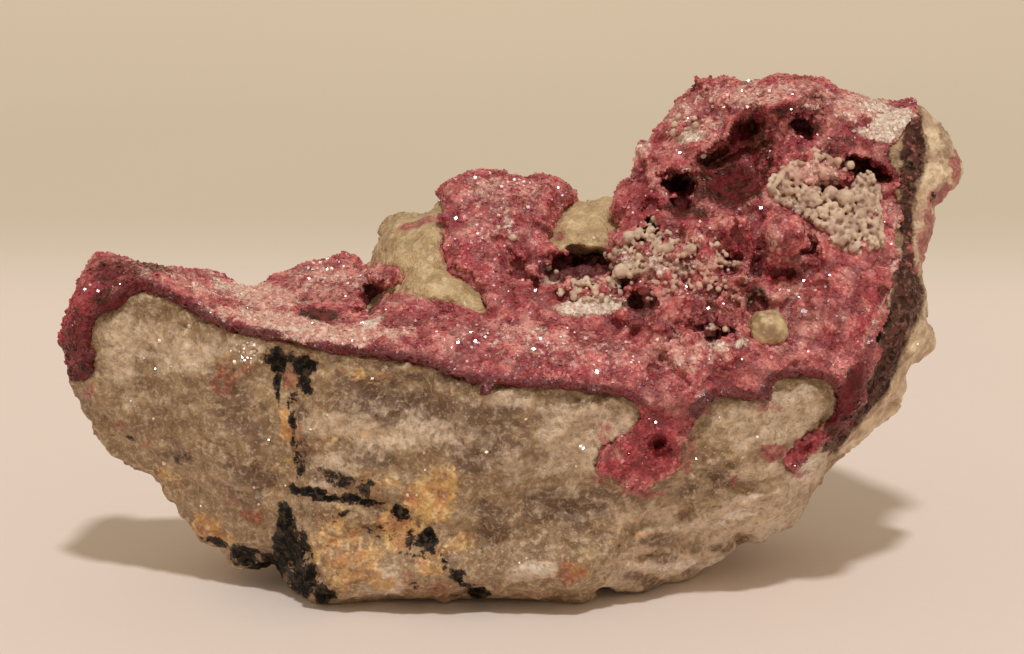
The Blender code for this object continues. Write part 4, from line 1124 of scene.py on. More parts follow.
def keep(made, name, values):
    """Stores one value for each vertex for the material to read."""
    made.data.attributes.new(name, "FLOAT", "POINT").data.foreach_set("value", values.astype(np.float32))


def facing_viewer(normals):
    """One where a surface faces the viewer, zero where it faces away."""
    return stepped(normals @ np.array([0, -VIEW_COS, VIEW_SIN]), -0.15, 0.15)


def front_sheet(outline):
    """The front's triangle mesh in picture units, finest where the druse is lumpy."""
    reach = crust_reach()
    edge = smoothed(CRUST_EDGE, CRUST_STEP, closed=False)
    lines = [edge]
    fine = scattered(outline, LUMP_STEP, [outline] + lines, 3)
    medium = scattered(outline, CRUST_STEP, [outline] + lines, 5)
    coarse = scattered(outline, ROCK_STEP, [outline] + lines, 7)
    points = np.vstack([fine[(fine[:, 0] > LUMPS_FROM) & inside(fine, reach)],
                        medium[(medium[:, 0] <= LUMPS_FROM - LUMPS_OVERLAP) & inside(medium, reach)],
                        coarse[~inside(coarse, reach)]])
    return triangulated(outline, lines, points)


def rock_body(outline, flat, triangles):
    """The rock as one closed set of places and faces, the front's places and normals with it."""
    rings = [ring(outline, amount) for amount in BACK_RINGS]
    points = scattered(outline, BACK_STEP, [], 11)
    points = points[distance_to(points, outline) > BACK_RINGS[-1] + 0.6 * BACK_STEP]
    back_flat, back_triangles = triangulated(outline, [], np.vstack(rings + [points]))
    front = world(flat, front_depth(flat, outline))
    back = world(back_flat, back_depth(back_flat, outline))
    rim = {tuple(np.round(point, 3)): index for index, point in enumerate(flat)}
    shared = [rim.get(tuple(np.round(point, 3)), len(flat) + index) for index, point in enumerate(back_flat)]
    faces = np.vstack([triangles, np.array(shared)[back_triangles][:, ::-1]])
    places = np.vstack([front, back])
    normals = softened(face_normals(places, faces), faces, 7)[:len(flat)]
    return places, faces, front, normals / np.linalg.norm(normals, axis=1)[:, None]


def under_crust(points):
    """Whether the crust covers a picture point."""
    return inside(shaken(points, *CRUST_SHAKE), crust_reach()) & ~exposed(points)


def exposed(points):
    """Whether the cream rock shows through the crust at a picture point."""
    moved = shaken(points, *EXPOSURE_SHAKE)
    return inside(moved, UPPER_EXPOSURE) | inside(moved, SADDLE_EXPOSURE)


def broken_rock(places, faces):
    """Chips, pits and grain on the rock's skin."""
    normals = face_normals(places, faces)
    points = picture(places)
    front = facing_viewer(normals)
    turned = places @ CLEAVAGE * CLEAVAGE_STRETCH + 0.5 * rough(places, 2.5, 71)[:, None]
    chips = softened(sum(facets(turned, *chip) for chip in CHIPS), faces, 1)
    coarse = COARSE_HEIGHT * rough(places, *COARSE_NOISE)
    fine = FINE_HEIGHT * rough(places, *FINE_NOISE)
    cream = exposed(points) & (front > 0.5)
    amount = chips + coarse * (1.3 - 0.7 * front) + fine
    amount = np.where(cream, CREAM_HEIGHT * rough(places, *CREAM_NOISE), amount)
    seam = (np.abs(seam_side(points)) < 1) & (points[:, 1] < SEAM_GRAINS_END) & (front > 0.3)
    amount += np.where(seam, 0.25 - 0.7 * grains(places, *SEAM_GRAINS)[0], 0)
    amount = np.where(under_crust(points) & (front > 0.2), 0.1 * amount - 0.15, amount)
    amount *= stepped(places[:, 2], 0.05, 1.5)
    moved = places + normals * amount[:, None]
    moved[:, 2] = np.maximum(moved[:, 2], 0)
    return moved


def seam_side(points):
    """How far to the right of the brown seam's middle a picture point lies, in its half widths."""
    seam = np.array(SEAM)
    middle, half_width = (np.interp(points[:, 1], seam[:, 1], seam[:, column]) for column in (0, 2))
    away = (points[:, 0] - middle) * MM_PER_UNIT + 0.8 * flat_rough(points, *SEAM_WAVES)
    return away / half_width


def cream_share(points):
    """One where the cream rock shows through the crust, with a soft edge."""
    moved = shaken(points, *EXPOSURE_SHAKE)
    cream = np.zeros(len(points))
    for exposure in EXPOSURES:
        beside = 1 - stepped(distance_to(moved, exposure), 0, EXPOSURE_EDGE)
        cream = np.maximum(cream, np.where(inside(moved, exposure), 1, beside))
    return cream


def rock_tones(made, places, faces):
    """Stores where the rock's stains and tones lie."""
    points = picture(places)
    front = facing_viewer(face_normals(places, faces))
    low_right = stepped(points[:, 0], *LOW_RIGHT) * stepped(points[:, 1], *LOW_RIGHT_DOWN)
    for name, (_, seed, size, low, most) in ROCK_TONES.items():
        weathered = most * stepped(rough(places, size, seed + 5), low, low + WEATHERING_EDGE)
        seen = np.clip(rock_tone(points, name), 0, MOST_TONE)
        if name == "pale":
            seen *= 1 - LOW_RIGHT_SHARE * np.clip(rock_tone(points, "grey"), 0, 1) * low_right
        keep(made, name, front * seen + (1 - front) * weathered)
    side = seam_side(points)
    low_end = 1 - stepped(points[:, 1], *SEAM_BOTTOM)
    high_end = stepped(points[:, 1], *SEAM_TOP)
    keep(made, "seam", front * low_end * high_end * (1 - stepped(np.abs(side), 0.6, 1.3)))
    keep(made, "rind", front * low_end * stepped(side, 0.8, 1.4))
    keep(made, "cream", np.where(points[:, 1] < CREAM_ABOVE, cream_share(points), 0) * front)
    keep(made, "blush", front * toned(points, BLUSH, *BLUSH_SHAKE))
    keep(made, "wet", front * toned(points, WET, *WET_SHAKE))


def toes(points):
    """One where the crust runs down the rock's front as a thin stain of crystals."""
    return np.clip(sum(mound(points, *toe) for toe in TOES) * 1.6, 0, 1)


def crust_height(flat, edge_distance):
    """Thickness of the crust in millimetres: thin at its broken edge and in hollows, thick at its lumps."""
    grown = np.clip(edge_distance / GROWN_FROM, 0, 1)
    height = LIP_THICKNESS + (CRUST_THICKNESS - LIP_THICKNESS) * grown
    height += grown * sum(relief(flat, *forms) for forms in CRUST_RELIEF)
    for x, y, radius, high in LUMPS:
        height += high * mound(flat, x, y, radius, radius) * grown
    for x, y, half_width, half_height, turn, _ in HOLLOWS:
        hollow = mound(flat, x, y, half_width * HOLLOW_REACH, half_height * HOLLOW_REACH, turn)
        height *= 1 - HOLLOW_THINNING * hollow
    right_end = stepped(flat[:, 0], *RIGHT_END) * (1 - np.clip(edge_distance / RIGHT_END_WIDTH, 0, 1))
    right_end *= flat[:, 1] < RIGHT_END_ABOVE
    left_end = (1 - stepped(flat[:, 0], *LEFT_END)) * stepped(flat[:, 1], *LEFT_END_DOWN)
    height = np.clip(height, LEAST_THICKNESS, None) * (1 - RIGHT_END_THINNING * right_end)
    return height * (1 - LEFT_END_THINNING * left_end) * (1 - TOE_THINNING * toes(flat))


def crust_body(outline, flat, triangles):
    """The crust's zone of triangles and the height of its top above the rock."""
    edge = smoothed(CRUST_EDGE, CRUST_STEP, closed=False)
    distance = np.minimum(distance_to(flat, edge, closed=False), distance_to(flat, outline))
    for exposure in EXPOSURES:
        distance = np.minimum(distance, distance_to(flat, exposure))
    height = softened(crust_height(flat, distance), triangles, 3)
    zone = triangles[under_crust(flat[triangles].mean(1))]
    return zone, height + CRUST_GAP, distance


def lumpiness(points):
    """How strongly the druse forms separate round lumps: high on the right, low on the left arm."""
    return toned(points, LUMPY_ZONES, *LUMPY_SHAKE)


def lump_set(tops, normals, used, spacing, seed, sizes, stands):
    """Round lumps on some of the front's vertices: their middles and radii."""
    picked = used[thinned(tops[used], spacing, seed)]
    rng = np.random.default_rng(seed + 1)
    radii = sizes[0] + (sizes[1] - sizes[0]) * rng.random(len(picked)) ** 1.7
    stand = stands[0] + (stands[1] - stands[0]) * rng.random(len(picked))
    return tops[picked] + normals[picked] * (radii * stand)[:, None], radii


def druse_lumps(flat, tops, normals, zone, distance):
    """Round lumps on the crust's top where the druse is lumpy, and the named balls."""
    used = np.unique(zone)
    free = distance[used] > np.where(flat[used, 0] < LEFT_ARM_END, *LUMPS_FROM_EDGE)
    used = used[free & (flat[used, 0] < LUMPS_UNTIL)]
    lumpy = lumpiness(flat[used])
    small = lump_set(tops, normals, used, *SMALL_LUMPS)
    large = lump_set(tops, normals, used[lumpy > LARGE_FROM], *LARGE_LUMPS)
    beads = lump_set(tops, normals, used[lumpy > BEADS_FROM], *BEADS)
    named = np.array([(x, y) for x, y, _, _ in BALLS], float)
    nearest = [np.argmin(((flat - spot) ** 2).sum(1)) for spot in named]
    sizes = np.array([radius * MM_PER_UNIT for _, _, radius, _ in BALLS])
    out = np.array([share for _, _, _, share in BALLS])
    middles = tops[nearest] + normals[nearest] * (sizes * (out - 0.35))[:, None]
    return ball_sets([small, large, beads, (middles, sizes)])


def cushions(places, size, seed):
    """Rounded cushions about size wide: zero on top of each, down to -1 in the gaps between them."""
    first, second = grains(places, size, seed)
    return 0.55 * (stepped(second - first, 0.0, 0.45) - 1) - 0.45 * np.clip(first, 0, 1) ** 2


def druse_skin(places, faces):
    """Cushions of several sizes all over the druse. Returns the places and how deep each lies in a gap, which
    the materials use for painted shade.
    """
    normals = face_normals(places, faces)
    lumpy = lumpiness(picture(places))
    moved = places + 0.7 * rough(places, 3.0, 151)[:, None]
    large, middle = cushions(moved, *LARGE_CUSHIONS), cushions(moved, *MIDDLE_CUSHIONS)
    amount = (LARGE_HEIGHT + LARGE_ADDED * lumpy) * large + (MIDDLE_HEIGHT + MIDDLE_ADDED * lumpy) * middle
    amount = amount + SMALL_HEIGHT * cushions(moved, *SMALL_CUSHIONS) + CUSHIONS_LIFT
    gap = np.clip(-0.75 * large - 0.50 * middle, -1, 1)
    return places + normals * amount[:, None], gap


def crust_tones(made, points, edge_distance):
    """Stores where the druse's tones lie, and how deep each point lies in a hole, for painted shade there."""
    for name in DRUSE_TONES:
        keep(made, name, druse_tone(points, name))
    lip = (1 - stepped(edge_distance, 0.9, 2.7)) * (1 - 0.7 * stepped(points[:, 0], *LIP_FADES))
    keep(made, "lip", lip * (1 - 0.9 * toes(points)))
    # How deep the holes go, for painted shade inside them
    keep(made, "hole", np.clip(hole_depth(points) / 5, 0, 1))


def lip_distance(points):
    """The distance from the crust's broken edge in millimetres."""
    return distance_to(points, smoothed(CRUST_EDGE, 2.0, closed=False), closed=False)


def crystal_frames(facing, rng):
    """Three edge directions for each crystal, which has one of its faces turned the given way."""
    side = np.cross(facing, rng.normal(size=facing.shape))
    side /= np.linalg.norm(side, axis=1)[:, None]
    third = np.cross(facing, side)
    corner, width = math.cos(RHOMB_ANGLE), math.sin(RHOMB_ANGLE)
    across = (corner - corner * corner) / width
    edges = [side, corner * side + width * third,
             corner * side + across * third + math.sqrt(1 - corner ** 2 - across ** 2) * facing]
    return np.stack(edges, axis=1)


def crystals(name, spots, facing, sizes, seed, finish):
    """Many tiny rhombs in one mesh, with a tone of its own for each."""
    rng = np.random.default_rng(seed)
    frames = crystal_frames(facing, rng)
    signs = np.array([(i, j, k) for i in (-0.5, 0.5) for j in (-0.5, 0.5) for k in (-0.5, 0.5)])
    corners = spots[:, None, :] + np.einsum("cs,nsx->ncx", signs, frames) * sizes[:, None, None]
    sides = np.array([(0, 1, 3, 2), (4, 6, 7, 5), (0, 4, 5, 1), (2, 3, 7, 6), (0, 2, 6, 4), (1, 5, 7, 3)])
    faces = (sides[None] + (np.arange(len(spots)) * CRYSTAL_CORNERS)[:, None, None]).reshape(-1, 4)
    places = corners.reshape(-1, 3)
    places[:, 2] = np.maximum(places[:, 2], 0)
    made = new_object(name, places, faces, finish)
    keep(made, "tone", np.repeat(rng.random(len(spots)), CRYSTAL_CORNERS))
    return made


def linear(red, green, blue):
    """A colour given in 0 to 255 screen values, as light."""
    return tuple((value / 255 / 12.92) if value <= 10 else ((value / 255 + 0.055) / 1.055) ** 2.4
                 for value in (red, green, blue))


def finish_of(red, green, blue, gain=1.0):
    """The material colour of something that shows the given screen colour under this light."""
    level = [part * gain for part in LIGHT_LEVEL]
    return tuple(min(value / part, 0.95) for value, part in zip(linear(red, green, blue), level)) + (1.0,)


def druse_shade(red, green, blue):
    """The same for the druse, on which slightly less light falls."""
    return finish_of(red, green, blue, DRUSE_GAIN)


def put(tree, kind, inputs=None, **settings):
    """Adds a node. An input is a socket to join or a value to set."""
    node = tree.nodes.new(kind)
    for key, value in settings.items():
        setattr(node, key, value)
    for key, value in (inputs or {}).items():
        socket = node.inputs[key]
        if isinstance(value, bpy.types.NodeSocket):
            tree.links.new(value, socket)
        else:
            socket.default_value = value
    return node


def new_finish(name):
    """A material with its node tree, its shader and the place on the object in millimetres."""
    made = bpy.data.materials.new(name)
    made.use_nodes = True
    tree = made.node_tree
    spot = times(tree, put(tree, "ShaderNodeTexCoord").outputs["Object"], 1000.0)
    return made, tree, tree.nodes["Principled BSDF"], spot


def cloud(tree, spot, size, seed, detail=3.0, rough_share=0.55):
    """Noise with forms about size millimetres wide."""
    moved = put(tree, "ShaderNodeVectorMath", {0: spot, 1: (seed * 7.3, seed * 3.1, seed * 5.7)}).outputs[0]
    inputs = {"Vector": moved, "Scale": 1 / size, "Detail": detail, "Roughness": rough_share}
    return put(tree, "ShaderNodeTexNoise", inputs).outputs["Fac"]


def full_cloud(tree, *settings):
    """The same noise, stretched to fill 0 to 1."""
    return ramped(tree, cloud(tree, *settings), 0.32, 0.68)


def random_cells(tree, spot, size):
    """Small cells with a random colour each."""
    return put(tree, "ShaderNodeTexVoronoi", {"Vector": spot, "Scale": 1 / size}).outputs["Color"]


def times(tree, vector, factor):
    """A place, a direction or a colour times a number."""
    return put(tree, "ShaderNodeVectorMath", {0: vector, "Scale": factor}, operation="SCALE").outputs[0]


def calc(tree, operation, a, b=0.0, c=0.0, clamp=False):
    """One sum of two or three numbers."""
    return put(tree, "ShaderNodeMath", {0: a, 1: b, 2: c}, operation=operation, use_clamp=clamp).outputs[0]


def added(tree, first, second, share):
    """A share of the first number and the rest of the second."""
    return calc(tree, "ADD", calc(tree, "MULTIPLY", first, share), calc(tree, "MULTIPLY", second, 1 - share))


def ramped(tree, value, low, high, start=0.0, end=1.0):
    """Value from low to high as start to end, with soft ends."""
    inputs = {"Value": value, "From Min": low, "From Max": high, "To Min": start, "To Max": end}
    return put(tree, "ShaderNodeMapRange", inputs, interpolation_type="SMOOTHSTEP").outputs["Result"]


def mixed(tree, share, first, second):
    """The first colour with a share of the second."""
    return put(tree, "ShaderNodeMix", {0: share, 6: first, 7: second}, data_type="RGBA").outputs[2]


def tinted(tree, colour, value, low, high, most, shade):
    """The colour, with a share of a shade that grows to most as the value goes from low to high."""
    return mixed(tree, ramped(tree, value, low, high, 0, most), colour, shade)


def stored(tree, name):
    """A value kept on the vertices."""
    return put(tree, "ShaderNodeAttribute", attribute_name=name).outputs["Fac"]


def shifted(tree, vector, random_colour, reach):
    """A place or a direction, shifted by up to half the reach each way as a random colour says."""
    way = put(tree, "ShaderNodeVectorMath", {0: random_colour, 1: MIDDLE_GREY}, operation="SUBTRACT")
    shift = times(tree, way.outputs[0], reach)
    return put(tree, "ShaderNodeVectorMath", {0: vector, 1: shift}).outputs[0]


def warped(tree, spot, size, reach):
    """The place shifted about by up to reach millimetres, so that what is drawn with it comes out uneven."""
    noisy = put(tree, "ShaderNodeTexNoise", {"Vector": spot, "Scale": 1 / size, "Detail": 3.0})
    return shifted(tree, spot, noisy.outputs["Color"], 2.0 * reach)


def patchy(tree, name, breakup, amount=0.9, low=0.30, high=0.80, most=1.0):
    """A stored tone with a broken edge."""
    shaken_tone = calc(tree, "MULTIPLY_ADD", breakup, amount, -0.5 * amount)
    share = calc(tree, "ADD", stored(tree, name), shaken_tone)
    present = ramped(tree, stored(tree, name), 0.02, 0.35, 0.0, most)
    return calc(tree, "MULTIPLY", ramped(tree, share, low, high), present)


def faceted(tree, cell_colour, strength, bumped):
    """The surface's direction, turned a little in each cell, as on broken crystal faces."""
    turned = shifted(tree, bumped, cell_colour, strength)
    return put(tree, "ShaderNodeVectorMath", {0: turned}, operation="NORMALIZE").outputs[0]


def glowing(shader, share, reach, size):
    """Lets light into the body for about size millimetres."""
    shader.inputs["Subsurface Weight"].default_value = share
    shader.inputs["Subsurface Radius"].default_value = reach
    shader.inputs["Subsurface Scale"].default_value = size / 1000


def raised(tree, height, distance, strength=1.0):
    """Bump from a height of 0 to 1 that stands for distance millimetres."""
    inputs = {"Height": height, "Distance": distance / 1000, "Strength": strength}
    return put(tree, "ShaderNodeBump", inputs).outputs[0]


def stained(tree, colour, middle, fine, torn):
    """The rock's colour with its stains, from the palest to the black ones."""
    ochre = mixed(tree, middle, finish_of(196, 154, 86), finish_of(184, 122, 68))
    ochre = tinted(tree, ochre, torn, 0.45, 0.15, 0.8, finish_of(150, 100, 84))
    ochre = tinted(tree, ochre, fine, 0.4, 1.0, 0.7, finish_of(214, 182, 132))
    colour = mixed(tree, patchy(tree, "ochre", torn, 1.3, 0.25, 0.95, 0.95), colour, ochre)
    rust = mixed(tree, fine, finish_of(112, 54, 36), finish_of(174, 110, 76))
    colour = mixed(tree, patchy(tree, "rust", torn, 1.4, 0.30, 1.00, 0.80), colour, rust)
    blush = mixed(tree, fine, finish_of(122, 44, 48), finish_of(178, 108, 94))
    colour = mixed(tree, patchy(tree, "blush", torn, 1.0, 0.3, 0.8, 0.9), colour, blush)
    halo = mixed(tree, middle, finish_of(96, 72, 46), finish_of(120, 74, 48))
    colour = mixed(tree, patchy(tree, "black", torn, 1.3, 0.10, 0.70, 0.75), colour, halo)
    black = mixed(tree, ramped(tree, fine, 0.45, 1.0), STAIN_BLACK, finish_of(62, 48, 32))
    return mixed(tree, patchy(tree, "black", torn, 1.2, 0.46, 0.56), colour, black)


def rock_colour(tree, spot, straight, middle, fine):
    """The clean rock: tan and grey crystals with pale ones between them, and thin dark cracks."""
    inputs = {"Vector": straight, "Rotation": BAND_LEAN, "Scale": BAND_STRETCH}
    leaning = put(tree, "ShaderNodeMapping", inputs).outputs[0]
    wide, band = full_cloud(tree, spot, 9, 1), full_cloud(tree, leaning, 4.5, 8, 4.0, 0.6)
    grain, small = random_cells(tree, spot, 1.7), random_cells(tree, spot, 0.75)
    colour = mixed(tree, band, finish_of(162, 131, 91), finish_of(126, 94, 63))
    colour = mixed(tree, calc(tree, "MULTIPLY", wide, 0.6), colour, finish_of(141, 110, 77))
    colour = mixed(tree, patchy(tree, "grey", middle, 0.6, 0.20, 0.85, 0.9), colour, finish_of(106, 77, 57))
    # The pale tone: pale rock, and at the lower right partly painted light
    whitest = ramped(tree, stored(tree, "pale"), 1.1, 1.4)
    light = mixed(tree, whitest, finish_of(196, 168, 136), finish_of(226, 200, 176))
    colour = mixed(tree, patchy(tree, "pale", middle, 0.6, 0.20, 0.85, 0.9), colour, light)
    colour = tinted(tree, colour, grain, 0.45, 1.0, 0.36, finish_of(200, 174, 138))
    colour = tinted(tree, colour, small, 0.40, 0.0, 0.34, finish_of(98, 68, 46))
    colour = tinted(tree, colour, fine, 0.55, 1.0, 0.38, finish_of(206, 180, 146))
    colour = tinted(tree, colour, fine, 0.40, 0.0, 0.40, finish_of(100, 70, 48))
    clear = cloud(tree, straight, 0.38, 4, 2.0, 0.6)
    colour = tinted(tree, colour, clear, 0.58, 0.72, 0.42, finish_of(222, 200, 168))
    crack = calc(tree, "ABSOLUTE", calc(tree, "SUBTRACT", cloud(tree, spot, 4.5, 6, 5.0, 0.6), 0.5))
    return tinted(tree, colour, crack, 0.010, 0.0, 0.45, finish_of(84, 58, 40))


def with_parts(tree, colour, cell, middle, fine, torn):
    """The rock's colour with its cream parts, its pale rind and its brown seam."""
    cream = mixed(tree, middle, finish_of(190, 160, 114), finish_of(160, 130, 88))
    cream = tinted(tree, cream, fine, 0.5, 1.0, 0.35, finish_of(212, 190, 152))
    colour = mixed(tree, ramped(tree, stored(tree, "cream"), 0.3, 0.7), colour, cream)
    rind = mixed(tree, middle, finish_of(212, 184, 146), finish_of(162, 128, 96))
    rind = mixed(tree, patchy(tree, "grey", torn, 0.9), rind, finish_of(136, 104, 74))
    colour = mixed(tree, patchy(tree, "rind", torn, 0.8), colour, rind)
    seam = mixed(tree, cell, finish_of(24, 12, 9), finish_of(96, 58, 46))
    seam = tinted(tree, seam, fine, 0.7, 1.0, 0.35, finish_of(160, 118, 96))
    return mixed(tree, patchy(tree, "seam", torn, 1.0), colour, seam)


def rock_finish():
    """Pale massive dolomite with stains, cream parts, a brown seam and a pale rind."""
    made, tree, shader, straight = new_finish("pale_dolomite")
    spot = warped(tree, straight, 1.1, 0.35)
    middle, fine = full_cloud(tree, spot, 3.2, 2), full_cloud(tree, straight, 0.9, 3, 4.0, 0.6)
    torn = added(tree, full_cloud(tree, spot, 2.2, 7, 6.0, 0.72), fine, 0.7)
    cell, small_cell = random_cells(tree, straight, 0.95), random_cells(tree, straight, 0.42)
    colour = rock_colour(tree, spot, straight, middle, fine)
    colour = stained(tree, with_parts(tree, colour, cell, middle, fine, torn), middle, fine, torn)
    tint = ramped(tree, cell, 0.0, 1.0, 0.86, 1.14)
    tree.links.new(times(tree, colour, tint), shader.inputs["Base Color"])
    wet = stored(tree, "wet")
    tilt = calc(tree, "MULTIPLY_ADD", wet, 0.5, 0.30)
    normal = faceted(tree, cell, tilt, raised(tree, fine, 0.16))
    tree.links.new(faceted(tree, small_cell, tilt, normal), shader.inputs["Normal"])
    gloss = ramped(tree, small_cell, 0.1, 0.9, 0.28, 0.62)
    gloss = calc(tree, "MULTIPLY_ADD", stored(tree, "cream"), -0.10, gloss)
    tree.links.new(calc(tree, "MULTIPLY_ADD", wet, -0.32, gloss, clamp=True), shader.inputs["Roughness"])
    dull = calc(tree, "MAXIMUM", stored(tree, "black"), stored(tree, "seam"))
    sheen = calc(tree, "MULTIPLY_ADD", dull, -0.40, 0.5, clamp=True)
    tree.links.new(sheen, shader.inputs["Specular IOR Level"])
    shader.inputs["IOR"].default_value = DOLOMITE_IOR
    glowing(shader, 0.22, (1.0, 0.8, 0.6), 1.0)
    return made


def pink_colour(tree, spot, middle, fine, torn):
    """The druse's colour from its tones, with painted shade in its gaps and holes and painted light on its
    cushion tops.
    """
    deeper, paler = druse_shade(158, 58, 62), druse_shade(190, 102, 94)
    colour = mixed(tree, ramped(tree, middle, 0.15, 0.85), deeper, paler)
    wide = full_cloud(tree, spot, 5.0, 11, 4.0, 0.6)
    colour = tinted(tree, colour, wide, 0.40, 1.0, 0.50, druse_shade(206, 152, 132))
    # Painted light: paler where the gap value falls below zero, on the cushion tops
    colour = tinted(tree, colour, stored(tree, "gap"), 0.0, -0.75, 0.42, druse_shade(210, 150, 132))
    colour = tinted(tree, colour, fine, 0.55, 1.0, 0.35, druse_shade(224, 172, 156))
    colour = tinted(tree, colour, fine, 0.40, 0.0, 0.35, druse_shade(124, 34, 42))
    colour = mixed(tree, patchy(tree, "deep", torn, 0.9, 0.3, 0.8, 0.9), colour,
                   mixed(tree, fine, druse_shade(128, 22, 34), druse_shade(172, 60, 65)))
    colour = mixed(tree, patchy(tree, "brown", torn, 0.9, 0.15, 0.6, 1.0), colour,
                   mixed(tree, fine, druse_shade(34, 10, 5), druse_shade(92, 44, 29)))
    colour = mixed(tree, ramped(tree, stored(tree, "lip"), 0.2, 0.9, 0, 0.92), colour,
                   mixed(tree, fine, finish_of(50, 4, 8), finish_of(92, 18, 21)))
    # Painted shade: darker deep in the gaps between the cushions
    colour = tinted(tree, colour, stored(tree, "gap"), 0.30, 0.95, 0.75, druse_shade(112, 32, 36))
    colour = mixed(tree, patchy(tree, "pale", torn, 1.0, 0.25, 0.95, 0.9), colour,
                   mixed(tree, fine, druse_shade(184, 122, 104), druse_shade(220, 182, 158)))
    frost = mixed(tree, fine, druse_shade(190, 150, 128), druse_shade(226, 202, 178))
    colour = mixed(tree, patchy(tree, "white", torn, 0.8, 0.2, 0.7), colour, frost)
    # Painted shade: dark red-brown deep in the holes
    return tinted(tree, colour, stored(tree, "hole"), 0.1, 0.7, 0.9, finish_of(84, 26, 24))


def druse_finish(name, with_tone):
    """The pink druse: tiny glossy faces in raspberry to pale pink."""
    made, tree, shader, straight = new_finish(name)
    spot = warped(tree, straight, 1.8, 0.8)
    middle, fine = full_cloud(tree, spot, 2.6, 12), full_cloud(tree, spot, 0.75, 13, 4.0, 0.65)
    torn = added(tree, full_cloud(tree, spot, 2.0, 17, 5.0, 0.7), fine, 0.65)
    cell = random_cells(tree, straight, 0.45)
    tone = stored(tree, "tone") if with_tone else cell
    colour = pink_colour(tree, spot, middle, fine, torn)
    tint = ramped(tree, tone, 0.0, 1.0, 0.78, 1.24)
    tree.links.new(times(tree, colour, tint), shader.inputs["Base Color"])
    if with_tone:
        still = calc(tree, "SUBTRACT", 0.5, calc(tree, "MULTIPLY", stored(tree, "bright"), 0.5))
        normal = raised(tree, fine, 0.06, still)
    else:
        normal = faceted(tree, cell, 0.30, raised(tree, fine, 0.12))
    tree.links.new(normal, shader.inputs["Normal"])
    sheen = calc(tree, "MULTIPLY_ADD", stored(tree, "brown"), -0.40, 0.5, clamp=True)
    tree.links.new(sheen, shader.inputs["Specular IOR Level"])
    gloss = ramped(tree, tone, 0.0, 1.0, 0.20, 0.45)
    if with_tone:
        glint = ramped(tree, tone, 0.0, 1.0, 0.10, 0.42)
        gloss = put(tree, "ShaderNodeMix", {0: stored(tree, "bright"), 2: gloss, 3: glint}).outputs[0]
    tree.links.new(gloss, shader.inputs["Roughness"])
    shader.inputs["IOR"].default_value = CRYSTAL_IOR
    glowing(shader, 0.20, (1.0, 0.4, 0.35), 0.4)
    return made


def grain_finish(name, first, second, rough_low, rough_high):
    """A dull or waxy growth in two pale colours, darker in its gaps as painted shade."""
    made, tree, shader, spot = new_finish(name)
    middle, fine = cloud(tree, spot, 2.4, 22), cloud(tree, spot, 0.6, 23, 4.0, 0.6)
    colour = mixed(tree, ramped(tree, middle, 0.35, 0.66), first, second)
    colour = tinted(tree, colour, fine, 0.58, 0.8, 0.25, druse_shade(150, 104, 86))
    pinkness = calc(tree, "MULTIPLY", stored(tree, "pink"), 0.55)
    colour = mixed(tree, pinkness, colour, finish_of(176, 108, 96, GRAIN_GAIN))
    # Painted shade: darker where the gap value is high, between the grains
    colour = tinted(tree, colour, stored(tree, "gap"), 0.35, 0.95, 0.6, druse_shade(106, 66, 52))
    tree.links.new(colour, shader.inputs["Base Color"])
    tree.links.new(raised(tree, fine, 0.10), shader.inputs["Normal"])
    tree.links.new(ramped(tree, fine, 0.3, 0.7, rough_low, rough_high), shader.inputs["Roughness"])
    glowing(shader, 0.25, (1.0, 0.8, 0.6), 0.5)
    return made


def stage_finish():
    """Plain pale paper with the faintest grain, with painted shade a little darker behind the piece and
    painted light lighter again further back.
    """
    made, tree, shader, spot = new_finish("pale_paper")
    wide, fine = cloud(tree, spot, 160, 31, 2.0), cloud(tree, spot, 3, 32, 3.0)
    shade = calc(tree, "MULTIPLY_ADD", wide, 0.05, 0.975)
    shade = calc(tree, "MULTIPLY_ADD", fine, 0.02, calc(tree, "SUBTRACT", shade, 0.01))
    behind = put(tree, "ShaderNodeSeparateXYZ", {0: spot}).outputs["Y"]
    near, far = ((*(colour * share for colour, share in zip(FLOOR_COLOUR, shares)), 1)
                 for shares in (NEAR_SHADE, FAR_SHADE))
    # Painted shade behind the piece, then painted light further back
    colour = mixed(tree, ramped(tree, behind, SHADE_FROM, SHADE_TO), (*FLOOR_COLOUR, 1), near)
    colour = mixed(tree, ramped(tree, behind, SHADE_TO, SHADE_END), colour, far)
    tree.links.new(times(tree, colour, shade), shader.inputs["Base Color"])
    shader.inputs["Roughness"].default_value = 0.85
    return made


def clear_finish():
    """Small clear crystals that catch the light on the rock."""
    made, tree, shader, _ = new_finish("clear_rhombs")
    tone = stored(tree, "tone")
    colour = mixed(tree, tone, finish_of(176, 146, 112), finish_of(222, 202, 172))
    tree.links.new(colour, shader.inputs["Base Color"])
    tree.links.new(ramped(tree, tone, 0.0, 1.0, 0.08, 0.45), shader.inputs["Roughness"])
    shader.inputs["IOR"].default_value = CRYSTAL_IOR
    return made


def rock_glints(skin, faces):
    """Small clear crystals on the rock's front, most of them in the wet patch."""
    directions = face_normals(skin, faces)
    seen = np.flatnonzero(directions @ TOWARDS_VIEWER > 0.5)
    picked = seen[thinned(skin[seen], 0.55, 61)]
    points = picture(skin[picked])
    rng = np.random.default_rng(62)
    share = 0.002 + 0.45 * toned(points, WET, *WET_SHAKE) + 0.012 * toned(points, ROCK_SPARKLES, *GLINT_SHAKE)
    kept = (rng.random(len(picked)) < share) & ~under_crust(points) & (rock_tone(points, "black") < 0.3)
    picked = picked[kept]
    facing = glinting(skin[picked], rng)
    lost = rng.random(len(picked)) < 0.45
    facing[lost] = directions[picked[lost]] + 0.4 * rng.normal(size=(lost.sum(), 3))
    facing /= np.linalg.norm(facing, axis=1)[:, None]
    sizes = 0.22 + 0.26 * rng.random(len(picked)) ** 2
    spots = skin[picked] + directions[picked] * 0.05
    made = crystals("rock_glints", spots, facing, sizes, 63, clear_finish())
    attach(made, "root")


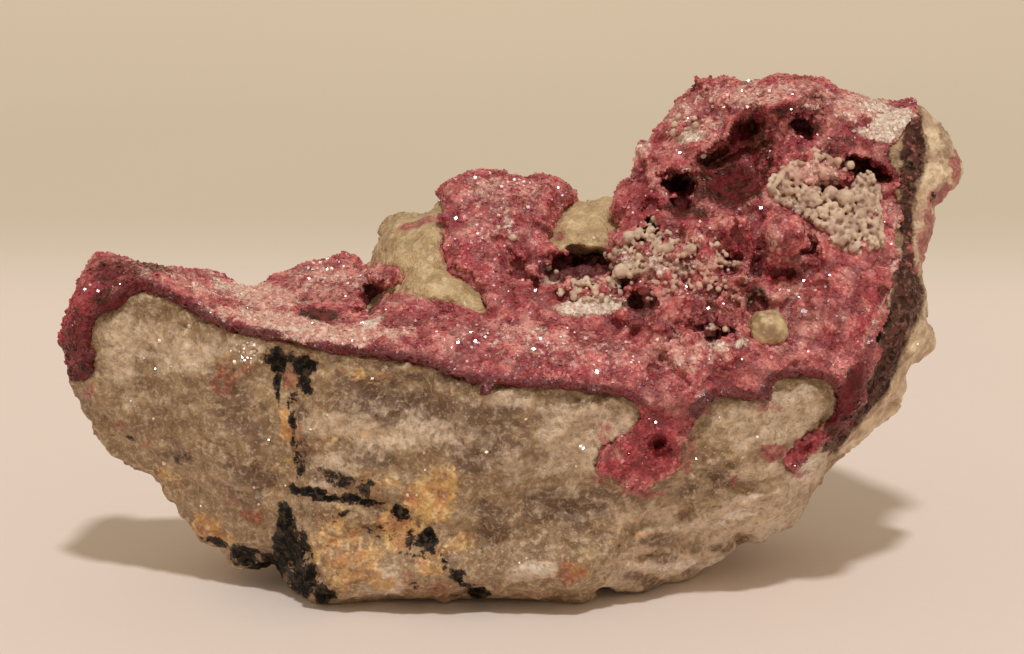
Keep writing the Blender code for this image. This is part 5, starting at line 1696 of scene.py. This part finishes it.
def make_rock(outline, flat, triangles):
    """The visible rock in place of the plain one. Returns the front's places and normals."""
    places, faces, front, normals = rock_body(outline, flat, triangles)
    skin, quads = fused(places, faces, ROCK_VOXEL)
    skin, quads = fused(pushed_in(skin), quads, ROCK_VOXEL)
    skin, triangles = lightened(broken_rock(skin, quads), quads, MOST_TRIANGLES)
    rock = new_object("rock", skin, triangles, rock_finish(), smooth=True)
    rock_tones(rock, skin, triangles)
    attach(rock, "root")
    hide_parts("matrix")
    rock_glints(skin, triangles)
    return front, normals


def outer(normals):
    """Whether a place on the crust belongs to its outer side."""
    return normals @ OPEN_SIDE > 0.02


def lightened_druse(skin, gap, quads):
    """The druse's skin with fewer faces, and the depth of the gaps at its new vertices."""
    fewer, triangles = lightened(skin, quads, MOST_TRIANGLES)
    tree = KDTree(len(skin))
    for index, place in enumerate(skin.tolist()):
        tree.insert(place, index)
    tree.balance()
    nearest = np.array([tree.find(place)[1] for place in fewer.tolist()])
    return fewer, gap[nearest], triangles


def make_druse(flat, tops, normals, zone, front, height, distance):
    """The druse's skin in place of the plain crust. Returns its places and normals."""
    low = np.full(len(flat), -CRUST_ROOT)
    sheet = layer(front, normals, zone, low, height)
    lumps = druse_lumps(flat, tops, normals, zone, distance)
    skin, quads = fused(*together(sheet, lumps), CRUST_VOXEL)
    skin, quads = fused(pushed_in(skin), quads, CRUST_VOXEL)
    skin, gap = druse_skin(skin, quads)
    skin, gap, triangles = lightened_druse(skin, gap, quads)
    directions = softened(face_normals(skin, triangles), triangles, 1)
    druse = new_object("druse", skin, triangles, druse_finish("pink_druse_skin", False), smooth=True)
    crust_tones(druse, picture(skin), lip_distance(picture(skin)))
    # The gap depth, which the materials turn into painted shade
    keep(druse, "gap", gap)
    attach(druse, "root")
    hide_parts("pink_crust")
    return skin, directions, gap


def glinting(spots, rng):
    """The way a face must be turned to catch the lamp's light for the viewer."""
    target = world(np.array([VIEW_CENTRE], float), np.zeros(1))[0]
    eye = target - VIEW_DISTANCE * np.array([0, VIEW_COS, -VIEW_SIN])
    halves = 0
    for end in (eye, np.array(LAMP_PLACE) * 1000):
        way = end - spots
        halves = halves + way / np.linalg.norm(way, axis=1)[:, None]
    halves /= np.linalg.norm(halves, axis=1)[:, None]
    return halves + 0.035 * rng.normal(size=spots.shape)


def grown_crystals(skin, directions):
    """Where small crystals grow on the druse, how each is turned, its size, and whether it is to glint."""
    spots = np.flatnonzero(outer(directions))
    picked = spots[thinned(skin[spots], CRYSTAL_SPACING, 31)]
    points = picture(skin[picked])
    clear = (hole_depth(points) < 1.5) & (druse_tone(points, "brown") < 0.7)
    picked, points = picked[clear], points[clear]
    rng = np.random.default_rng(32)
    sizes = 0.26 + 0.34 * rng.random(len(picked)) ** 2
    lumpy = lumpiness(points)
    sizes *= 1 - 0.22 * lumpy
    lean = CRYSTAL_LEAN * (1 - 0.55 * lumpy)
    facing = directions[picked] + lean[:, None] * rng.normal(size=points.shape[:1] + (3,))
    bright = rng.random(len(picked)) < 0.009 + 0.060 * toned(points, SPARKLES, *SPARKLE_SHAKE)
    bright &= directions[picked] @ TOWARDS_GLINT > 0.45
    facing[bright] = glinting(skin[picked[bright]], rng)
    facing /= np.linalg.norm(facing, axis=1)[:, None]
    sizes[bright] *= 0.9
    return picked, facing, sizes, bright


def make_crystals(skin, directions, gap):
    """Tiny rhombs all over the druse, in a left and a right piece."""
    picked, facing, sizes, bright = grown_crystals(skin, directions)
    points = picture(skin[picked])
    finish = druse_finish("pink_rhombs", True)
    lips = lip_distance(points)
    left = points[:, 0] < RHOMBS_SPLIT
    for name, part, seed in (("rhombs_left", left, 33), ("rhombs_right", ~left, 34)):
        lift = -0.30 * sizes[part] + 0.12 * bright[part]
        spots = skin[picked[part]] + directions[picked[part]] * lift[:, None]
        made = crystals(name, spots, facing[part], sizes[part], seed, finish)
        tone_points = np.repeat(points[part], CRYSTAL_CORNERS, axis=0)
        crust_tones(made, tone_points, np.repeat(lips[part], CRYSTAL_CORNERS))
        # The gap depth under each crystal, for painted shade in the druse's gaps
        keep(made, "gap", np.repeat(gap[picked[part]], CRYSTAL_CORNERS))
        keep(made, "bright", np.repeat(bright[part].astype(float), CRYSTAL_CORNERS))
        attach(made, "root")


def strewn_grains(flat, tops, normals, zones, spacing, sizes, stands, seed):
    """Small round grains on the crust inside some ovals: their middles and radii."""
    rng = np.random.default_rng(seed)
    moved = shaken(flat, *GRAIN_SHAKE, seed)
    wanted = np.zeros(len(flat), bool)
    for x, y, half_width, half_height, turn, share in zones:
        wanted |= (oval(moved, x, y, half_width, half_height, turn) < 1) & (rng.random(len(flat)) < share)
    used = np.flatnonzero(wanted & (hole_depth(flat) < 0.6))
    picked = used[thinned(tops[used], spacing, seed + 1)]
    radii = sizes[0] + (sizes[1] - sizes[0]) * rng.random(len(picked)) ** 2
    stand = stands[0] + (stands[1] - stands[0]) * rng.random(len(picked))
    middles = tops[picked] + normals[picked] * stand[:, None] + 0.12 * rng.normal(size=(len(picked), 3))
    return middles, radii


def round_ones(flat, tops, normals, rows, share):
    """Named round grains: their middles and radii."""
    nearest = [np.argmin(((flat - np.array(row[:2])) ** 2).sum(1)) for row in rows]
    radii = np.array([row[2] for row in rows]) * MM_PER_UNIT
    return tops[nearest] + normals[nearest] * (share * radii + 0.1)[:, None], radii


def cluster_sets(flat, tops, normals):
    """The balls of the cluster of pale botryoids: sets of middles and radii."""
    rng = np.random.default_rng(41)
    zone = np.flatnonzero(inside(shaken(flat, *GRAIN_SHAKE, 46), BOTRYOID_ZONE) & (hole_depth(flat) < 0.5))
    picked = zone[thinned(tops[zone], 0.84, 42)]
    radii = 0.32 + 0.40 * rng.random(len(picked)) ** 1.6
    centres = tops[picked] + normals[picked] * (0.35 + 0.75 * rng.random(len(picked)))[:, None]
    roots = zone[thinned(tops[zone], 0.7, 43)]
    base = tops[roots] - normals[roots] * 0.35
    alcove = strewn_grains(flat, tops, normals, ALCOVE_ZONES, *ALCOVE_GRAINS)
    large = round_ones(flat, tops, normals, BIG_BOTRYOIDS, 0.75)
    return [(centres, radii), (base, np.full(len(base), 0.62)), alcove, large]


def grown_grains(name, sets, finish):
    """One piece of round grains that have grown together, a little rough."""
    skin, quads = fused(*ball_sets(sets), GRAIN_VOXEL)
    skin = skin + face_normals(skin, quads) * (0.10 * rough(skin, 0.7, 45, 2))[:, None]
    made = new_object(name, skin, quads, finish, smooth=True)
    keep(made, "pink", toned(picture(skin), PINKISH_GRAINS, *PINKISH_SHAKE))
    # How far each place is set back from its smoothed skin along the view: the gap value, for painted shade
    # between the grains
    raised_by = -sight_depth(skin) + sight_depth(softened(skin, quads, 8))
    keep(made, "gap", np.clip(0.5 - 6 * raised_by, 0, 1))
    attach(made, "root")
    return made


def make_grains(flat, tops, normals):
    """The cluster of pale botryoids, and the pale grains strewn on the druse."""
    pale, pinkish = finish_of(204, 176, 146, GRAIN_GAIN), finish_of(168, 136, 112, GRAIN_GAIN)
    finish = grain_finish("pale_botryoids", pale, pinkish, 0.45, 0.7)
    cluster = grown_grains("botryoids", cluster_sets(flat, tops, normals), finish)
    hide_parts("pale_botryoids")
    crumbs = strewn_grains(flat, tops, normals, GRAIN_ZONES, *CRUMBS)
    single = round_ones(flat, tops, normals, PALE_GRAINS, 0.45)
    grown_grains("pale_grains", [crumbs, single], finish)


def make_nodule(flat, tops, normals):
    """The cream ball."""
    middle = np.argmin(((flat - np.array(NODULE_CENTRE)) ** 2).sum(1))
    radius = NODULE_RADIUS * MM_PER_UNIT
    centre = tops[middle] + normals[middle] * 0.15
    skin, quads = fused(*balls(centre[None], np.array([radius])), GRAIN_VOXEL)
    skin = skin + face_normals(skin, quads) * (0.32 * rough(skin, 1.6, 51, 4))[:, None]
    finish = grain_finish("cream_ball", finish_of(194, 166, 122), finish_of(136, 106, 72), 0.25, 0.5)
    ball = new_object("cream_ball", skin, quads, finish, smooth=True)
    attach(ball, "root")
    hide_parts("cream_nodule")


def make_stage():
    """A wide plain floor."""
    places = np.array([(x, y, 0) for y in (-3.5, 3.5) for x in (-3.5, 3.5)]) * 1000
    new_object("floor", places, np.array([(0, 1, 3, 2)]), stage_finish())


def make_light():
    """One soft lamp above the front and an even glow all round."""
    lamp = bpy.data.lights.new("lamp", "AREA")
    lamp.shape = "DISK"
    lamp.size = LAMP_SIZE
    lamp.energy = LAMP_POWER
    lamp.color = LAMP_TINT
    holder = bpy.data.objects.new("lamp", lamp)
    holder.location = LAMP_PLACE
    holder.rotation_euler = (Vector((0, 0, 0.03)) - Vector(LAMP_PLACE)).to_track_quat("-Z", "Y").to_euler()
    bpy.context.scene.collection.objects.link(holder)
    surround = bpy.data.worlds.new("surround")
    surround.use_nodes = True
    glow = surround.node_tree.nodes["Background"]
    glow.inputs["Color"].default_value = (*SURROUND_TINT, 1)
    glow.inputs["Strength"].default_value = SURROUND_STRENGTH
    bpy.context.scene.world = surround
    bpy.context.scene.view_settings.view_transform = "Standard"


def make_camera():
    """The camera, which looks a little down at the piece from the front."""
    target = Vector(world(np.array([VIEW_CENTRE], float), np.zeros(1))[0] / 1000)
    towards = Vector((0, VIEW_COS, -VIEW_SIN))
    camera = bpy.data.cameras.new("camera")
    camera.sensor_width = SENSOR_WIDTH
    camera.lens = SENSOR_WIDTH * VIEW_DISTANCE / (PICTURE_WIDTH * MM_PER_UNIT)
    camera.clip_start, camera.clip_end = 0.01, 10
    holder = bpy.data.objects.new("camera", camera)
    holder.location = target - towards * (VIEW_DISTANCE / 1000)
    holder.rotation_euler = towards.to_track_quat("-Z", "Y").to_euler()
    bpy.context.scene.collection.objects.link(holder)
    bpy.context.scene.camera = holder


def build():
    """Makes every piece, the light and the camera."""
    outline = rock_outline()
    flat, triangles = front_sheet(outline)
    front, normals = make_rock(outline, flat, triangles)
    zone, height, distance = crust_body(outline, flat, triangles)
    tops = front + normals * height[:, None]
    skin, directions, gap = make_druse(flat, tops, normals, zone, front, height, distance)
    make_crystals(skin, directions, gap)
    make_grains(flat, tops, normals)
    make_nodule(flat, tops, normals)
    make_stage()
    make_light()
    make_camera()


build()
